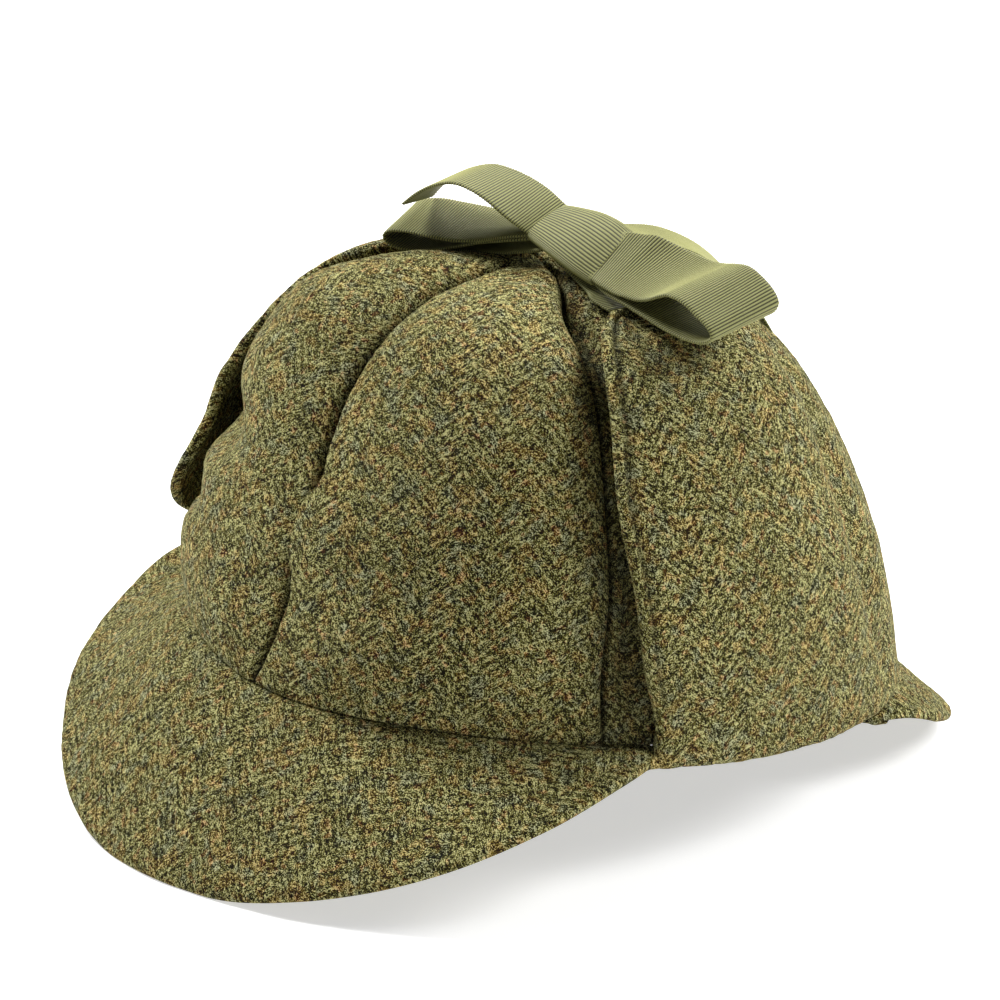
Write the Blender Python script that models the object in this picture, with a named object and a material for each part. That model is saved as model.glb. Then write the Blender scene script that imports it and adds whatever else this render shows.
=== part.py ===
"""A deerstalker hat that stands on its two peaks, with its ear flaps tied up over the crown.

Metres, +Z up. The floor is z = 0, the front peak points to -Y and the wearer's left is +X.
A "turn" is an angle round the crown in degrees, 0 at the front and 90 at the wearer's left.
A "rise" is 0 at the crown's lower edge and 1 at its top.
"""
import math
from collections import namedtuple

import bmesh
import bpy
from mathutils import Vector

# Cloth and clearances
CLOTH = 0.0022          # one layer of tweed with its backing
PEAK_CLOTH = 0.0034     # tweed over a stiff core, both faces
FLAP_CLOTH = 0.0036     # two layers of tweed
RIBBON = 0.0010         # grosgrain
GAP = 0.0003            # between pieces that touch

# Steps for slopes read from the surfaces
RISE_STEP = 0.002
TURN_STEP = 0.5
OUT_STEP = 0.02

# The origin is on the floor, under the middle of the whole hat
CROWN_X = 0.00676       # crown's centre from the origin
CROWN_Y = 0.0049

# The crown
RIM_HEIGHT = 0.0370     # lower edge at the sides, above the floor
CROWN_TOP = 0.1063      # top of the crown, above its lower edge
LEVEL_RISE = 0.15       # below this rise cloth stands out level from the crown

# Half sizes of the crown at heights above its lower edge, and the swell of its panels
CrownSection = namedtuple("CrownSection", "rise height front back side swell")
CROWN_SECTIONS = (
    CrownSection(0.000, 0.000, 0.1010, 0.1020, 0.0880, 0.0000),
    CrownSection(0.125, 0.018, 0.0970, 0.0925, 0.0875, 0.0050),
    CrownSection(0.250, 0.038, 0.0870, 0.0808, 0.0850, 0.0085),
    CrownSection(0.375, 0.058, 0.0785, 0.0692, 0.0780, 0.0085),
    CrownSection(0.500, 0.078, 0.0685, 0.0555, 0.0690, 0.0085),
    CrownSection(0.625, 0.092, 0.0560, 0.0425, 0.0560, 0.0090),
    CrownSection(0.750, 0.101, 0.0400, 0.0295, 0.0360, 0.0060),
    CrownSection(0.875, 0.105, 0.0190, 0.0150, 0.0210, 0.0024),
    CrownSection(1.000, CROWN_TOP, 0.0016, 0.0016, 0.0016, 0.0000),
)

# Height of the crown's lower edge over its height at the sides
RimLift = namedtuple("RimLift", "turn lift")
RIM_LIFTS = (
    RimLift(-180, -0.011),
    RimLift(-130, -0.006),
    RimLift(-100, 0.001),
    RimLift(-75, 0.008),
    RimLift(-40, 0.013),
    RimLift(-20, 0.013),
    RimLift(0, 0.009),
    RimLift(37, 0.005),
    RimLift(62, 0.000),
    RimLift(85, -0.0045),
    RimLift(110, -0.0080),
    RimLift(135, -0.0108),
    RimLift(155, -0.0120),
    RimLift(180, -0.0110),
)

# Crown panels between their seams, and each one's share of the swell
Panel = namedtuple("Panel", "name start end share")
PANELS = (
    Panel("crown_panel_back_right", -180, -118, 0.35),
    Panel("crown_panel_side_right", -118, -62, 0.1),
    Panel("crown_panel_front_right", -62, 0, 1.0),
    Panel("crown_panel_front_left", 0, 62, 0.6),
    Panel("crown_panel_side_left", 62, 118, 0.1),
    Panel("crown_panel_back_left", 118, 180, 0.35),
)

# How far the front seam wanders to the wearer's left
SeamShift = namedtuple("SeamShift", "rise shift")
FRONT_SEAM = (
    SeamShift(0.00, 0.0),
    SeamShift(0.12, 3.4),
    SeamShift(0.28, 0.8),
    SeamShift(0.40, 0.0),
    SeamShift(1.00, 0.0),
)

# Soft dents pressed into the panels
Dent = namedtuple("Dent", "turn rise wide tall depth")
DENTS = (
    Dent(-40, 0.355, 18, 0.060, 0.0085),
    Dent(-43, 0.225, 12, 0.035, 0.0066),
    Dent(30, 0.22, 16, 0.070, 0.0016),
    Dent(150, 0.40, 18, 0.110, 0.0022),
    Dent(-152, 0.52, 16, 0.090, 0.0020),
)

# Each peak: reach past the crown, height of its edge, and how far it hangs below the crown
SEAT = 0.0005           # a peak below the crown's edge
UNDER_FLAP = 0.0068     # and below the fold of a flap
PeakSection = namedtuple("PeakSection", "turn reach edge seat")
FRONT_PEAK = (
    PeakSection(-78, 0.0115, 0.0488, SEAT),
    PeakSection(-73, 0.0215, 0.0482, SEAT),
    PeakSection(-68, 0.0282, 0.0435, SEAT),
    PeakSection(-60, 0.0332, 0.0343, SEAT),
    PeakSection(-53, 0.0348, 0.0288, SEAT),
    PeakSection(-45, 0.0355, 0.0230, SEAT),
    PeakSection(-36, 0.0358, 0.0148, SEAT),
    PeakSection(-25, 0.0356, 0.0062, SEAT),
    PeakSection(-13, 0.0352, 0.0012, SEAT),
    PeakSection(0, 0.0348, 0.0008, SEAT),
    PeakSection(12, 0.0342, 0.0012, SEAT),
    PeakSection(22, 0.0340, 0.0052, SEAT),
    PeakSection(30, 0.0335, 0.0097, SEAT),
    PeakSection(38, 0.0330, 0.0155, SEAT),
    PeakSection(45, 0.0315, 0.0213, SEAT),
    PeakSection(52, 0.0275, 0.0270, SEAT),
    PeakSection(58, 0.0211, 0.0305, SEAT),
    PeakSection(63, 0.0142, 0.0320, SEAT),
    PeakSection(68.5, 0.0062, 0.0324, SEAT),
)
BACK_PEAK = (
    PeakSection(-59, 0.0030, 0.0206, UNDER_FLAP),
    PeakSection(-54, 0.0085, 0.0185, UNDER_FLAP),
    PeakSection(-49.5, 0.0130, 0.0156, UNDER_FLAP),
    PeakSection(-45, 0.0165, 0.0122, UNDER_FLAP),
    PeakSection(-41, 0.0190, 0.0092, SEAT),
    PeakSection(-36, 0.0211, 0.0066, SEAT),
    PeakSection(-28, 0.0228, 0.0036, SEAT),
    PeakSection(-16, 0.0236, 0.0011, SEAT),
    PeakSection(0, 0.0240, 0.0008, SEAT),
    PeakSection(16, 0.0236, 0.0011, SEAT),
    PeakSection(28, 0.0228, 0.0036, SEAT),
    PeakSection(36, 0.0211, 0.0066, SEAT),
    PeakSection(41, 0.0190, 0.0092, SEAT),
    PeakSection(45, 0.0165, 0.0122, UNDER_FLAP),
    PeakSection(49.5, 0.0130, 0.0156, UNDER_FLAP),
    PeakSection(54, 0.0085, 0.0185, UNDER_FLAP),
    PeakSection(59, 0.0030, 0.0206, UNDER_FLAP),
)
FRONT_BEND = 1.25       # above 1 a peak leaves the crown flatter and turns down
BACK_BEND = 0.95

# Each ear flap: its two edges, and how far its inner face lifts off the smooth crown
FlapSection = namedtuple("FlapSection", "rise front_edge back_edge lift_front lift_middle lift_back")
LEFT_FLAP = (
    FlapSection(0.050, 69.3, 134, 0.0011, 0.0019, 0.0016),
    FlapSection(0.125, 67, 136, 0.0025, 0.0035, 0.0030),
    FlapSection(0.250, 64, 138, 0.0035, 0.0050, 0.0050),
    FlapSection(0.375, 62, 138, 0.0040, 0.0055, 0.0060),
    FlapSection(0.500, 62, 136, 0.0040, 0.0055, 0.0054),
    FlapSection(0.600, 63, 131, 0.0030, 0.0045, 0.0042),
    FlapSection(0.660, 66, 122, 0.0022, 0.0032, 0.0030),
    FlapSection(0.705, 73, 109, 0.0017, 0.0022, 0.0024),
)
RIGHT_FLAP = (
    FlapSection(0.050, 79.5, 134, 0.0011, 0.0019, 0.0011),
    FlapSection(0.100, 62, 136, 0.0080, 0.0045, 0.0022),
    FlapSection(0.160, 52, 137, 0.0108, 0.0060, 0.0024),
    FlapSection(0.240, 49, 138, 0.0096, 0.0065, 0.0026),
    FlapSection(0.300, 50, 138, 0.0082, 0.0063, 0.0027),
    FlapSection(0.375, 52, 138, 0.0098, 0.0060, 0.0030),
    FlapSection(0.440, 54, 137, 0.0085, 0.0058, 0.0031),
    FlapSection(0.500, 56, 136, 0.0068, 0.0055, 0.0030),
    FlapSection(0.600, 61, 131, 0.0056, 0.0045, 0.0028),
    FlapSection(0.660, 66, 122, 0.0044, 0.0035, 0.0026),
    FlapSection(0.705, 73, 109, 0.0030, 0.0024, 0.0024),
)

# The fold at the foot of a flap: inner and outer face, out from and up from the crown's edge
FoldStep = namedtuple("FoldStep", "inner_out inner_up outer_out outer_up")
FLAP_FOLD = (
    FoldStep(-CLOTH, -0.0004, -CLOTH, -0.0039),
    FoldStep(-0.0006, -0.0004, 0.0004, -0.0058),
    FoldStep(0.0005, -0.0004, 0.0034, -0.0056),
    FoldStep(0.0006, 0.0014, 0.0048, -0.0026),
)

# The bow: heights are above the crown's top, "along" runs to the wearer's left
RIBBON_WIDTH = 0.025
KNOT_START = 0.0030
KNOT_END = 0.0305
KnotSection = namedtuple("KnotSection", "along across height half_width half_height")
KNOT = (
    KnotSection(KNOT_START, -0.0018, 0.0108, 0.0074, 0.0044),
    KnotSection(0.0090, -0.0018, 0.0103, 0.0086, 0.0056),
    KnotSection(0.0170, -0.0018, 0.0092, 0.0090, 0.0062),
    KnotSection(0.0240, -0.0018, 0.0080, 0.0092, 0.0060),
    KnotSection(KNOT_END, -0.0016, 0.0069, 0.0090, 0.0054),
)

# Ribbons of the bow: middle, half width, height of the far edge over the near one, and yaw
RibbonPoint = namedtuple("RibbonPoint", "along across height half lean yaw")
LOOP_LEFT = (
    RibbonPoint(0.0308, -0.0012, 0.0064, 0.0088, 0.0070, 0),
    RibbonPoint(0.0370, -0.0006, 0.0060, 0.0112, 0.0090, 0),
    RibbonPoint(0.0460, 0.0000, 0.0044, 0.0125, 0.0090, 0),
    RibbonPoint(0.0550, 0.0000, 0.0044, 0.0125, 0.0070, 0),
    RibbonPoint(0.0625, 0.0000, 0.0056, 0.0125, 0.0052, 0),
    RibbonPoint(0.0680, 0.0000, 0.0054, 0.0125, 0.0066, 0),
    RibbonPoint(0.0734, 0.0000, 0.0032, 0.0125, 0.0064, 0),
    RibbonPoint(0.0774, 0.0000, 0.0006, 0.0125, 0.0056, 0),
    RibbonPoint(0.0787, 0.0000, -0.0018, 0.0125, 0.0050, 0),
    RibbonPoint(0.0764, 0.0000, -0.0040, 0.0125, 0.0040, 0),
    RibbonPoint(0.0710, 0.0000, -0.0048, 0.0125, 0.0036, 0),
    RibbonPoint(0.0620, 0.0000, -0.0036, 0.0125, 0.0044, 0),
    RibbonPoint(0.0530, 0.0000, -0.0006, 0.0125, 0.0064, 0),
    RibbonPoint(0.0440, -0.0002, 0.0028, 0.0122, 0.0078, 0),
    RibbonPoint(0.0370, -0.0006, 0.0044, 0.0112, 0.0080, 0),
    RibbonPoint(0.0308, -0.0012, 0.0044, 0.0088, 0.0060, 0),
)
LOOP_RIGHT = (
    RibbonPoint(0.0025, -0.0016, 0.0096, 0.0070, 0.0000, 0),
    RibbonPoint(-0.0045, -0.0012, 0.0078, 0.0100, 0.0010, 10),
    RibbonPoint(-0.0130, -0.0028, 0.0064, 0.0120, 0.0024, 20),
    RibbonPoint(-0.0205, -0.0055, 0.0060, 0.0125, 0.0036, 22),
    RibbonPoint(-0.0280, -0.0084, 0.0064, 0.0125, 0.0038, 24),
    RibbonPoint(-0.0350, -0.0112, 0.0068, 0.0125, 0.0036, 26),
    RibbonPoint(-0.0400, -0.0134, 0.0060, 0.0125, 0.0028, 29),
    RibbonPoint(-0.0416, -0.0142, 0.0040, 0.0125, 0.0018, 30),
    RibbonPoint(-0.0395, -0.0132, 0.0018, 0.0125, 0.0014, 28),
    RibbonPoint(-0.0340, -0.0108, 0.0008, 0.0125, 0.0014, 26),
    RibbonPoint(-0.0270, -0.0080, 0.0014, 0.0125, 0.0012, 24),
    RibbonPoint(-0.0200, -0.0053, 0.0028, 0.0125, 0.0010, 22),
    RibbonPoint(-0.0130, -0.0028, 0.0044, 0.0120, 0.0010, 20),
    RibbonPoint(-0.0045, -0.0012, 0.0060, 0.0100, 0.0000, 10),
    RibbonPoint(0.0025, -0.0016, 0.0078, 0.0070, 0.0000, 0),
)
TAIL_RIGHT = (
    RibbonPoint(0.0024, -0.0014, 0.0124, 0.0072, 0.0030, 0),
    RibbonPoint(-0.0030, -0.0014, 0.0146, 0.0100, 0.0034, 14),
    RibbonPoint(-0.0090, -0.0034, 0.0176, 0.0120, 0.0016, 20),
    RibbonPoint(-0.0140, -0.0052, 0.0196, 0.0125, 0.0004, 22),
    RibbonPoint(-0.0190, -0.0070, 0.0204, 0.0125, 0.0000, 22),
    RibbonPoint(-0.0240, -0.0088, 0.0196, 0.0125, 0.0004, 22),
    RibbonPoint(-0.0290, -0.0104, 0.0168, 0.0125, 0.0012, 22),
    RibbonPoint(-0.0343, -0.0123, 0.0134, 0.0125, 0.0012, 22),
)
TAIL_BACK = (
    RibbonPoint(0.0210, 0.0084, 0.0072, 0.0095, 0.0000, 90),
    RibbonPoint(0.0225, 0.0170, 0.0064, 0.0110, 0.0000, 84),
    RibbonPoint(0.0260, 0.0270, 0.0034, 0.0125, 0.0000, 76),
    RibbonPoint(0.0300, 0.0360, -0.0030, 0.0125, 0.0000, 70),
    RibbonPoint(0.0335, 0.0435, -0.0120, 0.0125, 0.0000, 68),
    RibbonPoint(0.0362, 0.0495, -0.0215, 0.0125, 0.0000, 68),
)
TIE_LEFT = (
    RibbonPoint(0.0408, 0.0000, -0.0048, 0.0125, 0.0000, 0),
    RibbonPoint(0.0372, 0.0000, -0.0038, 0.0125, 0.0000, 0),
    RibbonPoint(0.0335, 0.0000, -0.0022, 0.0122, 0.0000, 0),
    RibbonPoint(0.0302, 0.0000, 0.0001, 0.0110, 0.0000, 0),
    RibbonPoint(0.0240, 0.0000, 0.0010, 0.0095, 0.0000, 0),
    RibbonPoint(0.0160, 0.0000, 0.0021, 0.0090, 0.0000, 0),
)
TIE_RIGHT = (
    RibbonPoint(-0.0408, 0.0000, -0.0046, 0.0125, 0.0000, 0),
    RibbonPoint(-0.0372, 0.0000, -0.0036, 0.0125, 0.0000, 0),
    RibbonPoint(-0.0320, 0.0000, -0.0021, 0.0125, 0.0000, 0),
    RibbonPoint(-0.0260, 0.0000, -0.0006, 0.0124, 0.0000, 0),
    RibbonPoint(-0.0190, 0.0000, 0.0008, 0.0118, 0.0000, 0),
    RibbonPoint(-0.0120, 0.0000, 0.0024, 0.0110, 0.0000, 0),
    RibbonPoint(-0.0040, 0.0000, 0.0038, 0.0100, 0.0000, 0),
    RibbonPoint(0.0020, 0.0000, 0.0051, 0.0090, 0.0000, 0),
)

# Mesh divisions
PANEL_ACROSS = 8
PANEL_UP = 14
FLAP_ACROSS = 12
FLAP_UP = 14
PEAK_OUT = 6
FRONT_PEAK_ACROSS = 30
BACK_PEAK_ACROSS = 26
RIBBON_ACROSS = 4
KNOT_SIDES = 14

# Looks
TWEED = (0.160, 0.145, 0.060, 1.0)
GROSGRAIN = (0.235, 0.225, 0.110, 1.0)
TWEED_ROUGHNESS = 0.95
RIBBON_ROUGHNESS = 0.75
SHARP_ANGLE = 50


def read(rows, key, column):
    """Value of a column between the rows of a table, on a smooth curve through them."""
    keys = [row[0] for row in rows]
    values = [getattr(row, column) for row in rows]
    key = min(max(key, keys[0]), keys[-1])
    i = max(n for n in range(len(keys) - 1) if keys[n] <= key)
    span = keys[i + 1] - keys[i]
    t = (key - keys[i]) / span

    def slope(n):
        low, high = max(n - 1, 0), min(n + 1, len(keys) - 1)
        return (values[high] - values[low]) / (keys[high] - keys[low])

    return (values[i] * (1 + 2 * t) * (1 - t) ** 2 + slope(i) * span * t * (1 - t) ** 2
            + values[i + 1] * t * t * (3 - 2 * t) - slope(i + 1) * span * t * t * (1 - t))


def smooth_step(t):
    """Ease from 0 to 1."""
    t = min(max(t, 0.0), 1.0)
    return t * t * (3 - 2 * t)


def wrap(turn):
    """The same turn between -180 and 180."""
    return (turn + 180) % 360 - 180


def crown_smooth(turn, rise):
    """Point of the crown's outer surface without the swell of its panels."""
    angle = math.radians(turn)
    length = read(CROWN_SECTIONS, rise, "front" if math.cos(angle) > 0 else "back")
    side = read(CROWN_SECTIONS, rise, "side")
    height = read(CROWN_SECTIONS, rise, "height")
    lift = read(RIM_LIFTS, wrap(turn), "lift") * (1 - rise) ** 2
    return Vector((side * math.sin(angle), -length * math.cos(angle), RIM_HEIGHT + height + lift))


def crown_normal(turn, rise):
    """Outward normal of the smooth crown, level at its lower edge."""
    low, high = max(rise - RISE_STEP, 0.0), min(rise + RISE_STEP, 1.0)
    along = crown_smooth(turn + TURN_STEP, rise) - crown_smooth(turn - TURN_STEP, rise)
    up = crown_smooth(turn, high) - crown_smooth(turn, low)
    normal = along.cross(up).normalized()
    normal.z *= smooth_step(rise / LEVEL_RISE)
    return normal.normalized()


def crown_point(turn, rise, out):
    """Point at a distance out from the smooth crown."""
    return crown_smooth(turn, rise) + crown_normal(turn, rise) * out


def crown_edge(turn, out, up):
    """Point by the crown's lower edge, out from it and up from it."""
    return crown_point(turn, 0.0, out) + Vector((0, 0, up))


def material(name, color, roughness):
    """Principled material of one colour."""
    mat = bpy.data.materials.new(name)
    mat.use_nodes = True
    shader = mat.node_tree.nodes["Principled BSDF"]
    shader.inputs["Base Color"].default_value = color
    shader.inputs["Roughness"].default_value = roughness
    shader.inputs["Metallic"].default_value = 0.0
    return mat


def solid_object(name, faces_of, color, roughness):
    """Object whose bmesh faces_of fills, with its faces turned out."""
    bm = bmesh.new()
    faces_of(bm)
    bmesh.ops.recalc_face_normals(bm, faces=bm.faces)
    mesh = bpy.data.meshes.new(name)
    bm.to_mesh(mesh)
    bm.free()
    mesh.shade_smooth()
    mesh.set_sharp_from_angle(angle=math.radians(SHARP_ANGLE))
    obj = bpy.data.objects.new(name, mesh)
    obj.location = (CROWN_X, CROWN_Y, 0.0)
    obj.data.materials.append(material(name, color, roughness))
    bpy.context.scene.collection.objects.link(obj)
    return obj


def cloth_solid(name, columns, color=TWEED, roughness=TWEED_ROUGHNESS, floor=None):
    """Closed wall from columns of (outer, inner) point pairs."""
    def faces_of(bm):
        outer = [[bm.verts.new(pair[0]) for pair in column] for column in columns]
        inner = [[bm.verts.new(pair[1]) for pair in column] for column in columns]
        wide, tall = len(columns), len(columns[0])
        for i in range(wide - 1):
            for j in range(tall - 1):
                bm.faces.new((outer[i][j], outer[i + 1][j], outer[i + 1][j + 1], outer[i][j + 1]))
                bm.faces.new((inner[i][j], inner[i][j + 1], inner[i + 1][j + 1], inner[i + 1][j]))
        for i in range(wide - 1):
            for j in (0, tall - 1):
                bm.faces.new((outer[i][j], inner[i][j], inner[i + 1][j], outer[i + 1][j]))
        for j in range(tall - 1):
            for i in (0, wide - 1):
                bm.faces.new((outer[i][j], outer[i][j + 1], inner[i][j + 1], inner[i][j]))
        bmesh.ops.triangulate(bm, faces=bm.faces)
        if floor is not None:
            cut = bmesh.ops.bisect_plane(bm, geom=bm.verts[:] + bm.edges[:] + bm.faces[:],
                                         plane_co=(0, 0, floor), plane_no=(0, 0, -1),
                                         clear_outer=True)
            edges = [e for e in cut["geom_cut"] if isinstance(e, bmesh.types.BMEdge)]
            bmesh.ops.edgenet_fill(bm, edges=edges)

    return solid_object(name, faces_of, color, roughness)


def dent_depth(turn, rise):
    """How far the dents press the crown in at a place."""
    depth = 0.0
    for dent in DENTS:
        away = (wrap(turn - dent.turn) / dent.wide) ** 2 + ((rise - dent.rise) / dent.tall) ** 2
        depth += dent.depth * math.exp(-away)
    return depth


def seam_turn(seam, rise):
    """Turn of a seam at a rise."""
    return seam + (read(FRONT_SEAM, rise, "shift") if seam == 0 else 0.0)


def crown_panel(panel):
    """One gore of the crown, swollen between its two seams."""
    middle = (panel.start + panel.end) / 2
    columns = []
    for i in range(PANEL_ACROSS + 1):
        u = 2 * i / PANEL_ACROSS - 1
        column = []
        for j in range(PANEL_UP + 1):
            rise = j / PANEL_UP
            clear = math.degrees(GAP / 2 / crown_smooth(middle, rise).xy.length)
            start, end = seam_turn(panel.start, rise) + clear, seam_turn(panel.end, rise) - clear
            turn = start + (end - start) * (u + 1) / 2
            swell = read(CROWN_SECTIONS, rise, "swell") * panel.share
            swell = (swell - dent_depth(turn, rise)) * (1 - u * u)
            column.append((crown_point(turn, rise, swell), crown_point(turn, rise, swell - CLOTH)))
        columns.append(column)
    return cloth_solid(panel.name, columns)


def peak_top(turn, out, rows, middle, bend):
    """Point of a peak's upper face, out = 0 at the crown and 1 at the peak's edge."""
    angle = math.radians(turn)
    away = wrap(turn - middle)
    start = crown_edge(turn, 0.0, -max(SEAT, read(rows, away, "seat")))
    reach = read(rows, away, "reach") * out
    drop = (start.z - read(rows, away, "edge")) * out ** bend
    return start + Vector((reach * math.sin(angle), -reach * math.cos(angle), -drop))


def peak(name, rows, middle, across, bend):
    """A stiff peak, from under the crown's wall to its free edge."""
    start, end = rows[0].turn, rows[-1].turn
    columns = []
    for i in range(across + 1):
        away = start + (end - start) * i / across
        turn = middle + away
        seat = max(SEAT, read(rows, away, "seat"))
        column = [(crown_edge(turn, -CLOTH, -seat), crown_edge(turn, -CLOTH, -seat - PEAK_CLOTH))]
        for j in range(PEAK_OUT + 1):
            out = j / PEAK_OUT
            point = peak_top(turn, out, rows, middle, bend)
            outward = peak_top(turn, out + OUT_STEP, rows, middle, bend) - point
            before = peak_top(turn - TURN_STEP, out, rows, middle, bend)
            aside = peak_top(turn + TURN_STEP, out, rows, middle, bend) - before
            normal = outward.cross(aside).normalized()
            if normal.z < 0:
                normal = -normal
            level = smooth_step(1 - 2 * out)
            normal = normal.lerp(Vector((0, 0, 1)), level).normalized()
            column.append((point, point - normal * PEAK_CLOTH))
        columns.append(column)
    return cloth_solid(name, columns, floor=0.0)


def flap_face(rows, side, u, rise, extra):
    """Point of a flap's inner face, or extra out from it. u runs from its front edge, -1, to 1."""
    front, back = read(rows, rise, "front_edge"), read(rows, rise, "back_edge")
    turn = side * (front + (back - front) * (u + 1) / 2)
    lifts = [read(rows, rise, column) for column in ("lift_front", "lift_middle", "lift_back")]
    bend = (lifts[0] + lifts[2]) / 2 - lifts[1]
    lift = lifts[1] + (lifts[2] - lifts[0]) / 2 * u + bend * u * u
    return crown_point(turn, rise, lift + extra)


def ear_flap(name, rows, side):
    """A doubled flap, folded up at the crown's lower edge."""
    columns = []
    for i in range(FLAP_ACROSS + 1):
        u = 2 * i / FLAP_ACROSS - 1
        first = rows[0]
        turn = side * (first.front_edge + (first.back_edge - first.front_edge) * (u + 1) / 2)
        column = [(crown_edge(turn, fold.outer_out, fold.outer_up),
                   crown_edge(turn, fold.inner_out, fold.inner_up)) for fold in FLAP_FOLD]
        for j in range(FLAP_UP + 1):
            rise = rows[0].rise + (rows[-1].rise - rows[0].rise) * j / FLAP_UP
            column.append((flap_face(rows, side, u, rise, FLAP_CLOTH),
                           flap_face(rows, side, u, rise, 0.0)))
        columns.append(column)
    return cloth_solid(name, columns)


def ribbon(name, stations):
    """Flat ribbon through stations of (centre, half across, half thick) vectors."""
    columns = []
    for i in range(RIBBON_ACROSS + 1):
        u = 2 * i / RIBBON_ACROSS - 1
        columns.append([(centre + across * u + thick, centre + across * u - thick)
                        for centre, across, thick in stations])
    return cloth_solid(name, columns, GROSGRAIN, RIBBON_ROUGHNESS)


def bow_ribbon(name, rows):
    """Loop or tail of the bow, through the points of its table."""
    top = RIM_HEIGHT + CROWN_TOP
    centres = [Vector((row.along, row.across, top + row.height)) for row in rows]
    stations = []
    for i, row in enumerate(rows):
        ahead = centres[min(i + 1, len(rows) - 1)] - centres[max(i - 1, 0)]
        yaw = math.radians(row.yaw)
        across = Vector((-math.sin(yaw), math.cos(yaw), row.lean / RIBBON_WIDTH)).normalized()
        thick = ahead.cross(across).normalized() * (RIBBON / 2)
        stations.append((centres[i], across * row.half, thick))
    return ribbon(name, stations)


def bow_knot():
    """The turn of ribbon that holds the bow, as one firm lump."""
    top = RIM_HEIGHT + CROWN_TOP

    def faces_of(bm):
        rings = []
        for row in KNOT:
            ring = []
            for k in range(KNOT_SIDES):
                angle = 2 * math.pi * k / KNOT_SIDES
                ring.append(bm.verts.new((row.along,
                                          row.across + row.half_width * math.cos(angle),
                                          top + row.height + row.half_height * math.sin(angle))))
            rings.append(ring)
        for low, high in zip(rings, rings[1:]):
            for k in range(KNOT_SIDES):
                n = (k + 1) % KNOT_SIDES
                bm.faces.new((low[k], low[n], high[n], high[k]))
        bm.faces.new(rings[0][::-1])
        bm.faces.new(rings[-1])

    return solid_object("bow_knot", faces_of, GROSGRAIN, RIBBON_ROUGHNESS)


def build():
    """The whole hat."""
    for obj in list(bpy.data.objects):
        bpy.data.objects.remove(obj, do_unlink=True)
    for panel in PANELS:
        crown_panel(panel)
    peak("front_peak", FRONT_PEAK, 0, FRONT_PEAK_ACROSS, FRONT_BEND)
    peak("back_peak", BACK_PEAK, 180, BACK_PEAK_ACROSS, BACK_BEND)
    ear_flap("ear_flap_left", LEFT_FLAP, 1)
    ear_flap("ear_flap_right", RIGHT_FLAP, -1)
    bow_ribbon("ribbon_tie_left", TIE_LEFT)
    bow_ribbon("ribbon_tie_right", TIE_RIGHT)
    bow_knot()
    bow_ribbon("bow_loop_left", LOOP_LEFT)
    bow_ribbon("bow_loop_right", LOOP_RIGHT)
    bow_ribbon("bow_tail_right", TAIL_RIGHT)
    bow_ribbon("bow_tail_back", TAIL_BACK)


build()
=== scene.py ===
"""Looks of a deerstalker hat: wool tweed, sewn seams, doubled ear flaps and a grosgrain bow.

Metres, +Z up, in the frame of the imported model. A "turn" is an angle round the crown in degrees,
0 at the front peak and 90 at the wearer's left. A "rise" is 0 at the crown's lower edge and 1 at
its top. The tables follow the model's own, and the pieces are finer and rounder on the same shape.
"""
import math
from collections import namedtuple
from itertools import product

import bpy
import numpy as np
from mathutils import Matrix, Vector


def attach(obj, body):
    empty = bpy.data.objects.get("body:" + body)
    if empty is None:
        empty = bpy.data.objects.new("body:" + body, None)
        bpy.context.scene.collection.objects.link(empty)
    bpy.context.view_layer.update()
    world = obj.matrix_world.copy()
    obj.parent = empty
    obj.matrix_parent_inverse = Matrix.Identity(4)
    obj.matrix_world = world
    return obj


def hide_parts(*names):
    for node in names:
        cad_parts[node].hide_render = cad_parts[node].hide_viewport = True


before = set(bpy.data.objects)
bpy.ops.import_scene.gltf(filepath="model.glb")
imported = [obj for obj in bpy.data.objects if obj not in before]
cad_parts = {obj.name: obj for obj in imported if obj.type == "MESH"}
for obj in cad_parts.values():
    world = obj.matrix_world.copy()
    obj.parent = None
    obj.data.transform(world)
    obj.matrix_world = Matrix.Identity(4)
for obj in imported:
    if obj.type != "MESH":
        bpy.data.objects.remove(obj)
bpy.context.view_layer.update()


def table(columns, *rows):
    """Rows of a table with named columns."""
    row_type = namedtuple("Row", columns)
    return tuple(row_type(*row) for row in rows)


# Cloth and clearances
CLOTH = 0.0022
PEAK_CLOTH = 0.0034
FLAP_CLOTH = 0.0036
RIBBON = 0.0008
SEAT = 0.0005  # a peak lies this far below the crown's edge
UNDER_FLAP = 0.0068  # and this far where a flap's fold is above it

# Steps for slopes read from the surfaces
RISE_STEP = 0.002
TURN_STEP = 0.5
OUT_STEP = 0.02
SHORTEST = 1e-12

# The crown
CROWN_X = 0.00676
CROWN_Y = 0.0049
RIM_HEIGHT = 0.0370
CROWN_TOP = 0.1063
LEVEL_RISE = 0.15  # the wall's normal turns level over this rise, down to the edge
CROWN_SECTIONS = table(
    "rise height front back side swell",
    (0.000, 0.000, 0.1010, 0.1020, 0.0880, 0.0),
    (0.125, 0.018, 0.0970, 0.0925, 0.0875, 0.0050),
    (0.250, 0.038, 0.0870, 0.0808, 0.0850, 0.0085),
    (0.375, 0.058, 0.0785, 0.0692, 0.0780, 0.0085),
    (0.500, 0.078, 0.0685, 0.0555, 0.0690, 0.0085),
    (0.625, 0.092, 0.0560, 0.0425, 0.0560, 0.0090),
    (0.750, 0.101, 0.0400, 0.0295, 0.0360, 0.0060),
    (0.875, 0.105, 0.0190, 0.0150, 0.0210, 0.0024),
    (1.000, CROWN_TOP, 0.0016, 0.0016, 0.0016, 0.0),
)
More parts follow.
